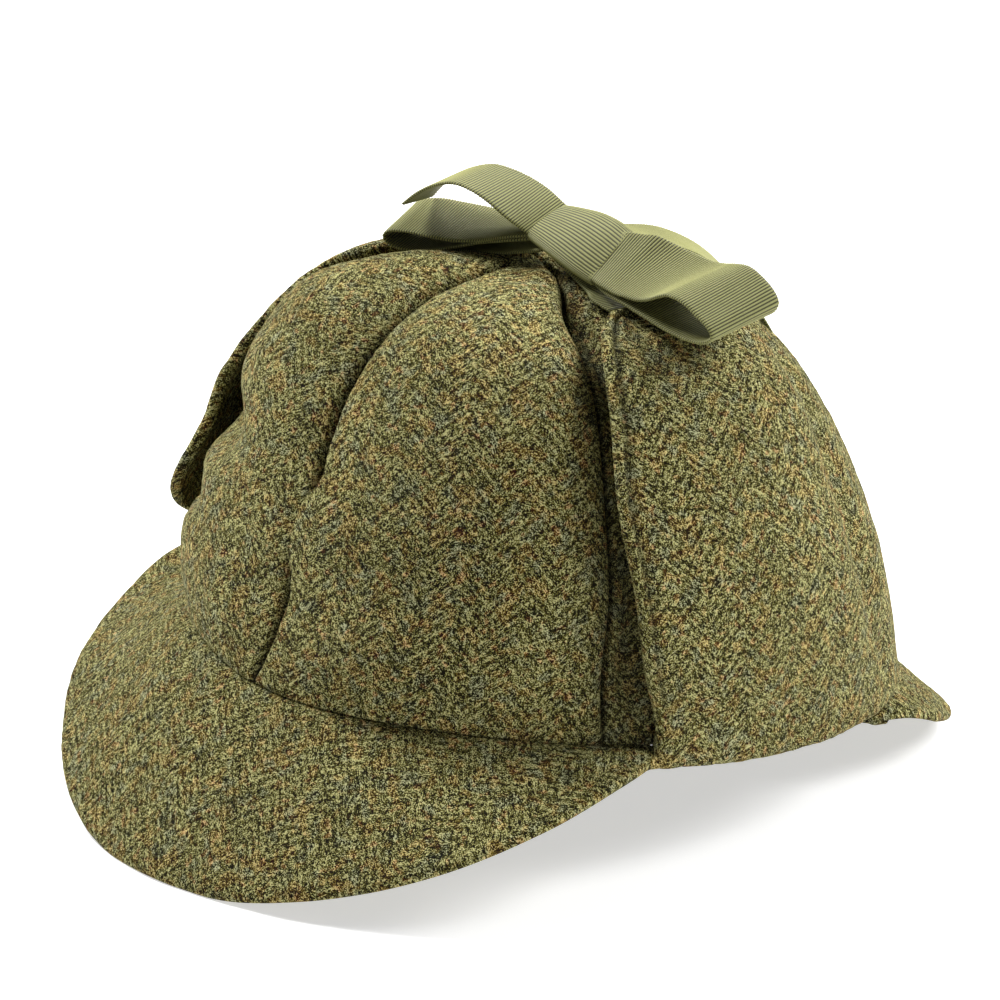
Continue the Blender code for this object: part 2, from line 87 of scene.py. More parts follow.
RIM_LIFTS = table(
    "turn lift",
    (-180, -0.011),
    (-130, -0.006),
    (-100, 0.001),
    (-75, 0.008),
    (-40, 0.013),
    (-20, 0.013),
    (0, 0.009),
    (37, 0.005),
    (62, 0.000),
    (85, -0.0045),
    (110, -0.0080),
    (135, -0.0108),
    (155, -0.0120),
    (180, -0.0110),
)
PANELS = table(
    "name start end share",
    ("crown_panel_back_right", -180, -118, 0.35),
    ("crown_panel_side_right", -118, -62, 0.1),
    ("crown_panel_front_right", -62, 0, 1.0),
    ("crown_panel_front_left", 0, 62, 0.6),
    ("crown_panel_side_left", 62, 118, 0.1),
    ("crown_panel_back_left", 118, 180, 0.35),
)
FRONT_SEAM = table(
    "rise shift",
    (0.00, 0.0),
    (0.12, 3.4),
    (0.20, 3.2),
    (0.28, 1.4),
    (0.36, 2.0),
    (0.42, 0.4),
    (1.00, 0.0),
)
DENTS = table(
    "turn rise wide tall depth",
    (-40, 0.355, 18, 0.060, 0.0085),
    (-43, 0.225, 12, 0.035, 0.0066),
    (30, 0.22, 16, 0.070, 0.0016),
    (150, 0.40, 18, 0.110, 0.0022),
    (-152, 0.52, 16, 0.090, 0.0020),
)

# Peaks, turns from the middle of each
PEAK_COLUMNS = "turn reach edge seat"
FRONT_PEAK = table(
    PEAK_COLUMNS,
    (-78, 0.0115, 0.0488, SEAT),
    (-73, 0.0215, 0.0482, SEAT),
    (-68, 0.0282, 0.0435, SEAT),
    (-60, 0.0332, 0.0343, SEAT),
    (-53, 0.0348, 0.0288, SEAT),
    (-45, 0.0355, 0.0230, SEAT),
    (-36, 0.0358, 0.0148, SEAT),
    (-25, 0.0356, 0.0062, SEAT),
    (-13, 0.0352, 0.0012, SEAT),
    (0, 0.0348, 0.0008, SEAT),
    (12, 0.0342, 0.0012, SEAT),
    (22, 0.0340, 0.0052, SEAT),
    (30, 0.0335, 0.0097, SEAT),
    (38, 0.0330, 0.0155, SEAT),
    (45, 0.0315, 0.0213, SEAT),
    (52, 0.0275, 0.0270, SEAT),
    (58, 0.0211, 0.0305, SEAT),
    (63, 0.0142, 0.0320, SEAT),
    (68.5, 0.0062, 0.0324, SEAT),
)
BACK_HALF = table(
    PEAK_COLUMNS,
    (0, 0.0240, 0.0008, SEAT),
    (16, 0.0236, 0.0011, SEAT),
    (28, 0.0228, 0.0036, SEAT),
    (36, 0.0211, 0.0066, SEAT),
    (43.8, 0.0173, 0.0113, SEAT),
    (45.6, 0.0161, 0.0127, UNDER_FLAP),
    (49.5, 0.0130, 0.0156, UNDER_FLAP),
    (54, 0.0085, 0.0185, UNDER_FLAP),
    (59, 0.0030, 0.0206, UNDER_FLAP),
)
BACK_PEAK = tuple(row._replace(turn=-row.turn) for row in BACK_HALF[:0:-1]) + BACK_HALF
PEAKS = table(
    "name rows middle bend extend",
    ("front_peak", FRONT_PEAK, 0, 1.25, 2.0),    # runs on 2 degrees at each end, under the flaps
    ("back_peak", BACK_PEAK, 180, 0.95, 0.0),
)

# Ear flaps
FLAP_COLUMNS = "rise front_edge back_edge lift_front lift_middle lift_back"
LEFT_FLAP = table(
    FLAP_COLUMNS,
    (0.050, 69.3, 135.2, 0.0016, 0.0019, 0.0016),
    (0.125, 66.6, 136, 0.0048, 0.0037, 0.0030),
    (0.250, 63.5, 138, 0.0068, 0.0054, 0.0050),
    (0.375, 61.4, 138, 0.0074, 0.0060, 0.0060),
    (0.500, 61.4, 136, 0.0070, 0.0060, 0.0054),
    (0.600, 62.5, 131, 0.0054, 0.0048, 0.0042),
    (0.660, 65.6, 122, 0.0036, 0.0034, 0.0030),
    (0.705, 73, 109, 0.0021, 0.0022, 0.0024),
)
RIGHT_FLAP = table(
    FLAP_COLUMNS,
    (0.050, 79.5, 135.2, 0.0011, 0.0019, 0.0011),
    (0.100, 62, 136, 0.0080, 0.0045, 0.0022),
    (0.160, 52, 137, 0.0108, 0.0060, 0.0024),
    (0.240, 49, 138, 0.0096, 0.0065, 0.0026),
    (0.300, 50, 138, 0.0082, 0.0063, 0.0027),
    (0.375, 52, 138, 0.0098, 0.0060, 0.0030),
    (0.440, 54, 137, 0.0085, 0.0058, 0.0031),
    (0.500, 56, 136, 0.0068, 0.0055, 0.0030),
    (0.600, 61, 131, 0.0056, 0.0045, 0.0028),
    (0.660, 66, 122, 0.0044, 0.0035, 0.0026),
    (0.705, 73, 109, 0.0030, 0.0024, 0.0024),
)
FLAP_FOLD = table(
    "inner_out inner_up outer_out outer_up",
    (-CLOTH, -0.0004, -CLOTH, -0.0039),
    (-0.0006, -0.0004, 0.0004, -0.0058),
    (0.0005, -0.0004, 0.0034, -0.0056),
    (0.0006, 0.0014, 0.0048, -0.0026),
)

# The bow: heights are above the crown's top, "along" runs to the wearer's left
RIBBON_WIDTH = 0.025
KNOT = table(
    "along across height half thick tilt",
    (0.0030, 0.0003, 0.0101, 0.0079, 0.0020, 21),
    (0.0090, 0.0, 0.0096, 0.0090, 0.0022, 23),
    (0.0165, -0.0006, 0.0088, 0.0099, 0.0022, 27),
    (0.0240, -0.0012, 0.0074, 0.0101, 0.0019, 32),
    (0.0305, -0.0014, 0.0056, 0.0096, 0.0015, 36),
)
RIBBON_COLUMNS = "along across height half lean yaw"
LOOP_LEFT = table(
    RIBBON_COLUMNS,
    (0.0308, -0.0020, 0.0063, 0.0090, 0.0182, 0),
    (0.0340, -0.0018, 0.0061, 0.0100, 0.0159, 0),
    (0.0370, -0.0013, 0.0059, 0.0110, 0.0146, 0),
    (0.0415, -0.0005, 0.0048, 0.0120, 0.0111, 0),
    (0.0460, 0.0, 0.0041, 0.0125, 0.0088, 0),
    (0.0505, 0.0, 0.0038, 0.0125, 0.0080, 0),
    (0.0550, 0.0, 0.0041, 0.0125, 0.0063, 0),
    (0.0590, 0.0, 0.0050, 0.0125, 0.0047, 0),
    (0.0625, 0.0, 0.0058, 0.0125, 0.0043, 0),
    (0.0680, 0.0, 0.0056, 0.0125, 0.0056, 0),
    (0.0734, 0.0, 0.0032, 0.0125, 0.0064, 0),
    (0.0774, 0.0, 0.0006, 0.0125, 0.0056, 0),
    (0.0787, 0.0, -0.0018, 0.0125, 0.0050, 0),
    (0.0764, 0.0, -0.0040, 0.0125, 0.0040, 0),
    (0.0710, 0.0, -0.0048, 0.0125, 0.0036, 0),
    (0.0620, 0.0, -0.0036, 0.0125, 0.0044, 0),
    (0.0530, 0.0, -0.0008, 0.0125, 0.0064, 0),
    (0.0440, -0.0002, 0.0022, 0.0122, 0.0092, 0),
    (0.0370, -0.0007, 0.0040, 0.0110, 0.0135, 0),
    (0.0308, -0.0012, 0.0048, 0.0088, 0.0178, 0),
)
LOOP_RIGHT = table(
    RIBBON_COLUMNS,
    (0.0025, 0.0002, 0.0098, 0.0070, 0.0092, 0),
    (-0.0045, -0.0010, 0.0078, 0.0098, 0.0030, 10),
    (-0.0130, -0.0028, 0.0064, 0.0120, 0.0024, 20),
    (-0.0205, -0.0055, 0.0060, 0.0125, 0.0036, 22),
    (-0.0280, -0.0084, 0.0064, 0.0125, 0.0038, 24),
    (-0.0350, -0.0112, 0.0068, 0.0125, 0.0036, 26),
    (-0.0400, -0.0134, 0.0060, 0.0125, 0.0028, 29),
    (-0.0416, -0.0142, 0.0040, 0.0125, 0.0018, 30),
    (-0.0395, -0.0132, 0.0018, 0.0125, 0.0014, 28),
    (-0.0340, -0.0108, 0.0008, 0.0125, 0.0014, 26),
    (-0.0270, -0.0080, 0.0014, 0.0125, 0.0012, 24),
    (-0.0200, -0.0053, 0.0030, 0.0125, 0.0010, 22),
    (-0.0130, -0.0028, 0.0050, 0.0120, 0.0012, 20),
    (-0.0045, -0.0008, 0.0068, 0.0098, 0.0034, 10),
    (0.0025, 0.0006, 0.0086, 0.0068, 0.0092, 0),
)
TAIL_RIGHT = table(
    RIBBON_COLUMNS,
    (0.0024, -0.0003, 0.0113, 0.0077, 0.0096, 0),
    (-0.0030, -0.0014, 0.0142, 0.0100, 0.0056, 14),
    (-0.0090, -0.0034, 0.0176, 0.0120, 0.0016, 20),
    (-0.0140, -0.0052, 0.0196, 0.0125, 0.0004, 22),
    (-0.0190, -0.0071, 0.0205, 0.0125, -0.0001, 22),
    (-0.0248, -0.0092, 0.0190, 0.0125, -0.0008, 26),
    (-0.0310, -0.0115, 0.0155, 0.0125, -0.0021, 30),
    (-0.0356, -0.0128, 0.0113, 0.0125, -0.0033, 30),
)
TAIL_BACK = table(
    RIBBON_COLUMNS,
    (0.0210, 0.0084, 0.0088, 0.0095, 0.0, 90),
    (0.0225, 0.0170, 0.0074, 0.0110, 0.0012, 84),
    (0.0260, 0.0270, 0.0043, 0.0125, 0.0032, 76),
    (0.0300, 0.0360, -0.0021, 0.0125, 0.0052, 70),
    (0.0335, 0.0435, -0.0110, 0.0125, 0.0064, 68),
    (0.0362, 0.0495, -0.0206, 0.0125, 0.0068, 68),
)
TIE_LEFT = table(
    RIBBON_COLUMNS,
    (0.0408, 0.0, -0.0048, 0.0125, 0.0, 0),
    (0.0372, 0.0, -0.0038, 0.0125, 0.0, 0),
    (0.0335, 0.0, -0.0024, 0.0122, 0.0010, 0),
    (0.0302, 0.0004, -0.0006, 0.0108, 0.0040, 0),
    (0.0240, 0.0002, 0.0026, 0.0092, 0.0100, 0),
    (0.0175, -0.0004, 0.0056, 0.0084, 0.0122, 0),
    (0.0120, -0.0003, 0.0076, 0.0080, 0.0118, 0),
)
TIE_RIGHT = table(
    RIBBON_COLUMNS,
    (-0.0408, 0.0, -0.0046, 0.0125, 0.0, 0),
    (-0.0372, 0.0, -0.0036, 0.0125, 0.0, 0),
    (-0.0320, 0.0, -0.0021, 0.0125, 0.0, 0),
    (-0.0260, 0.0, -0.0006, 0.0124, 0.0, 0),
    (-0.0190, 0.0, 0.0008, 0.0118, 0.0008, 0),
    (-0.0120, 0.0, 0.0024, 0.0110, 0.0028, 0),
    (-0.0040, 0.0001, 0.0042, 0.0100, 0.0062, 0),
    (0.0030, 0.0002, 0.0062, 0.0088, 0.0092, 0),
    (0.0090, 0.0, 0.0078, 0.0080, 0.0106, 0),
)

# Weave sizes
HERRINGBONE_COLUMN = 0.0085
TWILL_PITCH = 0.0032
RIB_PITCH = 0.00082
RIB_HEIGHT = 0.00011
PICOT = 0.00010
WOOL_HEIGHT = 0.00024

# Mesh divisions and the sizes that they divide
CLOTH_STEP = 0.0011  # length of a mesh cell on the tweed
PANEL_LENGTH = 0.150
PANEL_WIDTH = 0.100
PEAK_LENGTH = 0.25
PEAK_DEPTH = 0.045
FLAP_LENGTH = 0.135
FLAP_WIDTH = 0.115
FLAP_ROWS = 19  # heights above the fold that a flap's curves pass through
CURVE_SPACING = 0.75  # 1 spaces a curve's places by length, 0 evenly
FINE_POINTS = 6  # points across the finer cells at an edge
PANEL_END_FINE = 0.0015  # cells are finer this near to an edge
PANEL_SIDE_FINE = 0.0022
PEAK_END_FINE = 0.0020
PEAK_EDGE_FINE = 0.0016
RIB_SAMPLES = 5
RIBBON_ACROSS = 14
RIBBON_POINTS = 2000  # points on a ribbon's curve before it is stepped evenly

# Seams, and the hollow in front of each flap
SEAM_ROUND = 0.0020  # cloth rolls into a seam over this length
TOP_ROUND = 0.0010
SEAM_ENDS = 12  # a seam's wobble and crease come in over 1/12 of the rise
SEAM_WOBBLE = 0.00028
WOBBLE_SIZE = 0.011
WOBBLE_SEED = 40
WOBBLE_RADIUS = 0.02  # a seam wobbles no more in turn than at this radius
SEAM_SINK = 0.0027  # a crease goes this much deeper than the roll
SEAM_SINK_HALF = 0.0009
SINK_START = 0.010  # it comes in over this height from the rim
# Painted shade in each seam's crease: how dark it is beside seams other than the front one, and how
# wide
SEAM_SHADE = 0.8
CREASE_HALF = 0.0009
SWELL_POWER = 2.5  # how full a panel is beside its seams
FADE_LIFT = 0.0036  # cloth stands up this much where a crease fades, within FADE_HALF of it
FADE_HALF = 0.014
VALLEY_TURN = 66.5
VALLEY_HALF = 6.0
VALLEY_DEPTH = 0.0062
VALLEY_START = 0.025
VALLEY_TOP = 0.9
VALLEY_EASE = 5
VALLEY_SHADE = 0.35  # how much painted shade darkens the wool in the hollow
PUCKER_HEIGHT = 0.0004  # puckers cross a seam's edge, a little aslant
PUCKER_SIZE = 0.0052
PUCKER_SLANT = 0.3
PUCKER_AT = 0.004
PUCKER_HALF = 0.0035
PUCKER_SEED = 60

# Edges of the flaps and peaks
EDGE_ROUND = 0.0022
HEM = 0.0034  # stitched line inside a flap's edge
HEM_HALF = 0.00085
HEM_DEPTH = 0.0013
# painted shade along each flap's stitched line
HEM_SHADE = 0.6
FOLD_CLEAR = 0.012  # stitching and slack come in this far up a flap, over FOLD_EASE
FOLD_EASE = 0.02
PEAK_ROUND = 0.0020
PEAK_TUCK = 0.0030  # part of a peak under the crown's wall
TUCK_SHARES = (1, 0.75, 0.5, 0.25)
TUCK_ROUND = 0.0006
UNDER_START = 0.0005  # a peak comes up again past a flap's fold, over this run from here
UNDER_RUN = 0.0040

# Ribbon edges and the knot
RIBBON_SIDE_ROUND = 0.0006
RIBBON_END_ROUND = 0.0005
INTO_KNOT = 0.003  # a ribbon runs on this far inside the knot, a little narrower
NARROWED = 0.92
KNOT_BOX = 2.8  # how square the knot is across: 2 is an ellipse
KNOT_RIBS = 60
KNOT_STEPS = 26
KNOT_SIDE = 0.02
KNOT_ENDS = ((0.012, 0.88), (0.0, 0.94), (0.004, 0.985))  # turned in: place along and size

# Unevenness of the cloth, as layers of noise
WOOL_LAYERS = table("size height seed", (0.0017, 0.7, 0), (0.006, 0.9, 5))
SLACK_LAYERS = table("size height seed", (0.019, 0.00055, 9), (0.041, 0.0009, 21))
WOOL_EASE = 0.003  # wool is smooth this near to a seam
SLACK_EASE = 0.012
FLAP_SLACK_EASE = 0.015
PEAK_SLACK = 0.6  # share of the crown's slack
RIBBON_SLACK = 0.45
HASH_AXES = (73856093, 19349663, 83492791)
HASH_SEED = 2654435
HASH_MIX = 1274126177
HASH_MIDDLE = 32767.5
SEED_SHIFT = 17.31

# How deep the front seam's crease is, and how dark its painted shade is
FRONT_CREASE = table(
    "rise depth",
    (0.00, 1.0),
    (0.17, 1.0),
    (0.20, 0.6),
    (0.23, 0.1),
    (0.26, 0.0),
    (0.33, 0.0),
    (0.355, 0.4),
    (0.385, 1.0),
    (1.00, 1.0),
)

# Dents in the outer face of the left flap, u from its front edge, -1, to its back edge, 1
LEFT_DENTS = table(
    "u rise wide tall depth",
    (-0.62, 0.655, 0.13, 0.035, 0.0024),
    (-0.50, 0.590, 0.11, 0.030, 0.0014),
    # a soft fold down the flap, short of its back edge, and the swell behind it
    (0.58, 0.08, 0.08, 0.065, 0.0012),
    (0.45, 0.16, 0.09, 0.065, 0.0014),
    (0.38, 0.25, 0.09, 0.070, 0.0016),
    (0.40, 0.34, 0.09, 0.070, 0.0016),
    (0.46, 0.43, 0.09, 0.065, 0.0014),
    (0.51, 0.51, 0.09, 0.060, 0.0010),
    (0.64, 0.24, 0.14, 0.160, -0.0010),
)

# Wool colours on screen at middling light, and how much lighter or darker their fibres are
OLIVE = (0.390, 0.372, 0.130)
OCHRE = (0.458, 0.374, 0.105)
SLATE = (0.344, 0.350, 0.188)
RUST = (0.480, 0.336, 0.105)
WOOL_LIFTS = ((0.0, -0.32), (0.3, -0.19), (0.6, 0.03), (0.82, 0.21), (1.0, 0.44))
WOOL_DARKEST = 0.02
WOOL_FLECKS = table(
    "tone size seed low high",
    (OCHRE, 0.0036, 11.0, 0.50, 0.62),
    (SLATE, 0.0038, 23.0, 0.51, 0.68),
    (RUST, 0.0026, 47.0, 0.59, 0.72),
)
FLECK_SHARE = 0.85
# Painted shade laid on the wool in creases, hollows and stitched lines, and how much of it is mixed
# in
CREASE_SHADE_COLOUR = (0.010, 0.009, 0.004, 1)
CREASE_SHADE_SHARE = 0.9
SHEEN_COLOUR = (0.75, 0.72, 0.50, 1)

# Cell sizes of the wool, and what each adds to its height
GRAIN, GRAIN_SHARE = 0.00029, 0.45
FLUFF, FLUFF_SHARE = 0.00085, 0.13
FIBRE, FIBRE_SHARE = 0.00046, 0.30
CLUMP, CLUMP_SHARE = 0.0030, 0.12
TWILL_SHARE = 0.024
FIBRE_STRETCH = 0.44  # fibres lie along the twill, and are shorter across it
WANDER = 0.0028  # the twill wanders this far, in cells of WANDER_SIZE
WANDER_SIZE = 0.0060
COLUMN_SHIFT = 0.0137  # sets the fibres of neighbouring columns apart
CLOTH_SHIFT = 1.0  # keeps places across the cloth above 0
WOOL_LOW, WOOL_HIGH = 0.405, 0.595
WOOL_BUMP = 0.0024

# Ribbon colours
CREST_DARK = (0.184, 0.183, 0.050, 1)
CREST_LIGHT = (0.234, 0.233, 0.070, 1)
THREAD_COLOUR = (0.42, 0.42, 0.19, 1)
# painted shade in the hollows between the ribs
RIB_HOLLOW_SHADE = (0.034, 0.034, 0.009, 1)
TONE_SIZE = 0.011
RIB_LOW, RIB_HIGH = 0.05, 0.75
THREAD_SIZE = 0.0004
THREAD_SHARE = 0.4
THREAD_BUMP = 0.0003

# Sockets of the node that mixes two colours
MIX_FACTOR, MIX_FIRST, MIX_SECOND, MIXED = 0, 6, 7, 2

# The photograph's view: the crown's centre at its lower edge lands at this pixel of 1000 x 1000
CAMERA_TURN = 48.0
CAMERA_ELEVATION = 19.0
CAMERA_DISTANCE = 1.25
CAMERA_REACH = 20.0
PIXELS_PER_METRE = 3625.0
CENTRE_PIXEL = (539.0, 631.0)
IMAGE = 1000.0
SENSOR = 36.0

# The studio
FLOOR_SIZE = 12.0
FLOOR_TONE = 0.66
FLOOR_GLOW = 0.57
WORLD_LIGHT = 0.12
LIT_POINT = (0, 0, 0.06)
LIGHTS = table(
    "name place size power",
    ("key", (-1.55, -0.28, 1.85), 0.8, 99.0),
    ("side", (1.2, 1.4, 1.6), 1.1, 54.0),
    ("rim", (-0.25, 1.8, 1.5), 0.8, 44.0),
)


def table_value(rows, keys, column):
    """Values of a column between the rows of a table, on a smooth curve through them."""
    at = np.array([row[0] for row in rows], float)
    values = np.array([getattr(row, column) for row in rows], float)
    return curve_value(at, values, np.clip(np.asarray(keys, float), at[0], at[-1]))


def curve_value(at, values, keys):
    """Values at keys on a smooth curve through values at their places. Further axes ride along."""
    spread = (slice(None),) + (None,) * (values.ndim - 1)
    slopes = np.empty_like(values)
    slopes[1:-1] = (values[2:] - values[:-2]) / (at[2:] - at[:-2])[spread]
    slopes[0] = (values[1] - values[0]) / (at[1] - at[0])
    slopes[-1] = (values[-1] - values[-2]) / (at[-1] - at[-2])
    i = np.clip(np.searchsorted(at, keys, side="right") - 1, 0, len(at) - 2)
    span = at[i + 1] - at[i]
    t = (keys - at[i]) / span
    if values.ndim > 1:
        span, t = span[spread], t[spread]
    return (values[i] * (1 + 2 * t) * (1 - t) ** 2 + slopes[i] * span * t * (1 - t) ** 2
            + values[i + 1] * t * t * (3 - 2 * t) - slopes[i + 1] * span * t * t * (1 - t))


def smooth_step(t):
    """Ease from 0 to 1."""
    t = np.clip(t, 0.0, 1.0)
    return t * t * (3 - 2 * t)


def wrap(turn):
    """The same turn between -180 and 180."""
    return (np.asarray(turn, float) + 180) % 360 - 180


def unit(vectors):
    """Vectors at length 1."""
    return vectors / np.maximum(np.linalg.norm(vectors, axis=-1, keepdims=True), SHORTEST)


def crown_smooth(turn, rise):
    """Points of the crown's outer surface without the swell of its panels."""
    turn, rise = np.broadcast_arrays(turn, rise)
    angle = np.radians(turn)
    length = np.where(np.cos(angle) > 0, table_value(CROWN_SECTIONS, rise, "front"),
                      table_value(CROWN_SECTIONS, rise, "back"))
    side = table_value(CROWN_SECTIONS, rise, "side")
    height = table_value(CROWN_SECTIONS, rise, "height")
    lift = table_value(RIM_LIFTS, wrap(turn), "lift") * (1 - rise) ** 2
    return np.stack([side * np.sin(angle), -length * np.cos(angle), RIM_HEIGHT + height + lift], -1)


def crown_normal(turn, rise):
    """Outward normals of the smooth crown, level at its lower edge."""
    turn, rise = np.broadcast_arrays(turn, rise)
    low, high = np.maximum(rise - RISE_STEP, 0.0), np.minimum(rise + RISE_STEP, 1.0)
    along = crown_smooth(turn + TURN_STEP, rise) - crown_smooth(turn - TURN_STEP, rise)
    up = crown_smooth(turn, high) - crown_smooth(turn, low)
    normal = unit(np.cross(along, up))
    normal[..., 2] *= smooth_step(rise / LEVEL_RISE)
    return unit(normal)


def crown_point(turn, rise, out):
    """Points at a distance out from the smooth crown."""
    return crown_smooth(turn, rise) + crown_normal(turn, rise) * np.asarray(out)[..., None]


def crown_edge(turn, out, up):
    """Points by the crown's lower edge, out from it and up from it."""
    turn = np.asarray(turn, float)
    lifted = np.zeros(turn.shape + (3,))
    lifted[..., 2] = up
    return crown_point(turn, np.zeros_like(turn), np.broadcast_to(out, turn.shape)) + lifted


def bell(distance, half):
    """1 at no distance, falling off smoothly to either side."""
    return np.exp(-(distance / half) ** 2)


def even_with_fine_ends(length, rim):
    """Places from 0 to length, about a cloth step apart, and finer within rim of either end."""
    close = rim * (1 - np.cos(np.linspace(0, math.pi / 2, FINE_POINTS)))
    count = max(int((length - 2 * rim) / CLOTH_STEP), 2)
    middle = np.linspace(rim, length - rim, count + 1)[1:-1]
    return np.concatenate([close, middle, (length - close)[::-1]])


def rounding(distance, radius):
    """Share of the full thickness at a distance from a rounded edge."""
    t = np.clip(distance / radius, 0, 1)
    return np.sqrt(np.maximum(1 - (1 - t) ** 2, 0))


def value_noise(points, size, seed):
    """Smooth noise from -1 to 1 at points, with cells of a size."""
    p = points / size + seed * SEED_SHIFT
    cell = np.floor(p).astype(np.int64)
    t = p - cell
    t = t * t * (3 - 2 * t)
    total = np.zeros(points.shape[:-1])
    for corner in product((0, 1), repeat=3):
        parts = (cell + np.array(corner)) * np.array(HASH_AXES)
        h = parts[..., 0] ^ parts[..., 1] ^ parts[..., 2] ^ (seed * HASH_SEED)
        h = (h ^ (h >> 13)) * HASH_MIX & 0xFFFFFFFF
        h = (h ^ (h >> 16)) & 0xFFFF
        total += np.prod(np.where(corner, t, 1 - t), axis=-1) * (h / HASH_MIDDLE - 1)
    return total


def line_noise(places, size, seed):
    """Smooth noise from -1 to 1 along a line."""
    return value_noise(np.stack([places, 0 * places, 0 * places], -1), size, seed)


def mesh_object(name, node, points, faces, corner_uv, mat, crease=None):
    """Shown piece that rides on the hat's one body, in a node's place."""
    mesh = bpy.data.meshes.new(name)
    mesh.vertices.add(len(points))
    placed = points + np.array([CROWN_X, CROWN_Y, 0.0])
    mesh.vertices.foreach_set("co", placed.astype(np.float32).ravel())
    mesh.loops.add(faces.size)
    mesh.loops.foreach_set("vertex_index", faces.ravel().astype(np.int32))
    mesh.polygons.add(len(faces))
    mesh.polygons.foreach_set("loop_start", np.arange(0, faces.size, 4, dtype=np.int32))
    mesh.polygons.foreach_set("loop_total", np.full(len(faces), 4, np.int32))
    mesh.update(calc_edges=True)
    layer = mesh.uv_layers.new(name="cloth")
    layer.data.foreach_set("uv", corner_uv.astype(np.float32).ravel())
    # Painted shade: how far the wool is darkened in creases, hollows and stitched lines
    if crease is not None:
        shade = mesh.attributes.new("crease", "FLOAT", "POINT")
        shade.data.foreach_set("value", crease.astype(np.float32))
    mesh.validate()
    mesh.shade_smooth()
    obj = bpy.data.objects.new(name, mesh)
    obj.data.materials.append(mat)
    bpy.context.scene.collection.objects.link(obj)
    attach(obj, "root")
    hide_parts(node)
    return obj


def cell_corners(grid):
    """The four corners of each cell of a grid, one cell after another."""
    corners = np.stack([grid[:-1, :-1], grid[1:, :-1], grid[1:, 1:], grid[:-1, 1:]], 2)
    return corners.reshape((-1, 4) + grid.shape[2:])


def pillow(name, node, outer, inner, flat, mat, crease=None):
    """Closed sheet from the grids of its two faces, which meet along the border."""
    wide, tall = outer.shape[:2]
    border = np.zeros((wide, tall), bool)
    border[[0, -1], :] = True
    border[:, [0, -1]] = True
    middle = (outer + inner) / 2
    outer = np.where(border[..., None], middle, outer)
    ids_outer = np.arange(wide * tall).reshape(wide, tall)
    ids_inner = ids_outer.copy()
    ids_inner[~border] = wide * tall + np.arange((~border).sum())
    points = np.concatenate([outer.reshape(-1, 3), inner[~border]])
    faces, corners = [], []
    for ids, turned in ((ids_outer, False), (ids_inner, True)):
        quads, uv = cell_corners(ids), cell_corners(flat)
        if turned:
            quads, uv = quads[:, ::-1], uv[:, ::-1]
        faces.append(quads)
        corners.append(uv)
    if crease is not None:
        crease = np.concatenate([crease.reshape(-1), crease[~border]])
    return mesh_object(name, node, points, np.concatenate(faces),
                       np.concatenate(corners).reshape(-1, 2), mat, crease)


def flat_places(points):
    """Where each point of a grid lies on its cut, in metres from the middle of the lower edge."""
    across = np.linalg.norm(np.diff(points, axis=0), axis=-1)
    across = np.pad(np.cumsum(across, 0), ((1, 0), (0, 0)))
    across -= across[-1] / 2
    middle = points[points.shape[0] // 2]
    up = np.append(0, np.cumsum(np.linalg.norm(np.diff(middle, axis=0), axis=-1)))
    return np.stack([across, np.broadcast_to(up, across.shape)], -1)


def layered_noise(points, layers, seed):
    """Sum of layers of noise, each with its cell size and height."""
    return sum(value_noise(points, row.size, seed + row.seed) * row.height for row in layers)


def woolly(points, seed):
    """Small heights of the wool's surface."""
    return layered_noise(points, WOOL_LAYERS, seed) * WOOL_HEIGHT


def slack(points, seed):
    """Broad shallow heights of soft cloth."""
    return layered_noise(points, SLACK_LAYERS, seed)


def dent_depth(turn, rise):
    """How far the dents press the crown in."""
    depth = np.zeros(np.broadcast(turn, rise).shape)
    for dent in DENTS:
        away = (wrap(turn - dent.turn) / dent.wide) ** 2 + ((rise - dent.rise) / dent.tall) ** 2
        depth += dent.depth * np.exp(-away)
    return depth


def seam_turn(seam, rise):
    """Turn of a seam at each rise."""
    radius = np.linalg.norm(crown_smooth(seam, rise)[..., :2], axis=-1)
    wobble = line_noise(rise * PANEL_LENGTH, WOBBLE_SIZE, WOBBLE_SEED + int(abs(seam)))
    wobble = np.degrees(wobble * SEAM_WOBBLE / np.maximum(radius, WOBBLE_RADIUS))
    turn = seam + wobble * smooth_step(rise * SEAM_ENDS)
    if seam == 0:
        turn = turn + table_value(FRONT_SEAM, rise, "shift")
    return turn


def seam_rise(seam, rise, to_seam):
    """How far cloth stands up where a seam's crease fades."""
    if seam != 0:
        return 0.0 * to_seam
    faded = 1 - table_value(FRONT_CREASE, rise, "depth")
    roll = CLOTH / 2 * (1 - rounding(to_seam, SEAM_ROUND))
    roll = roll + SEAM_SINK * bell(to_seam, SEAM_SINK_HALF)
    return faded * (roll + FADE_LIFT * bell(to_seam, FADE_HALF))


def seam_shade(seam, rise, to_seam):
    """How much painted shade darkens the cloth in a seam's crease."""
    depth = table_value(FRONT_CREASE, rise, "depth") if seam == 0 else SEAM_SHADE
    return depth * bell(to_seam, CREASE_HALF) * smooth_step((1 - rise) * SEAM_ENDS)


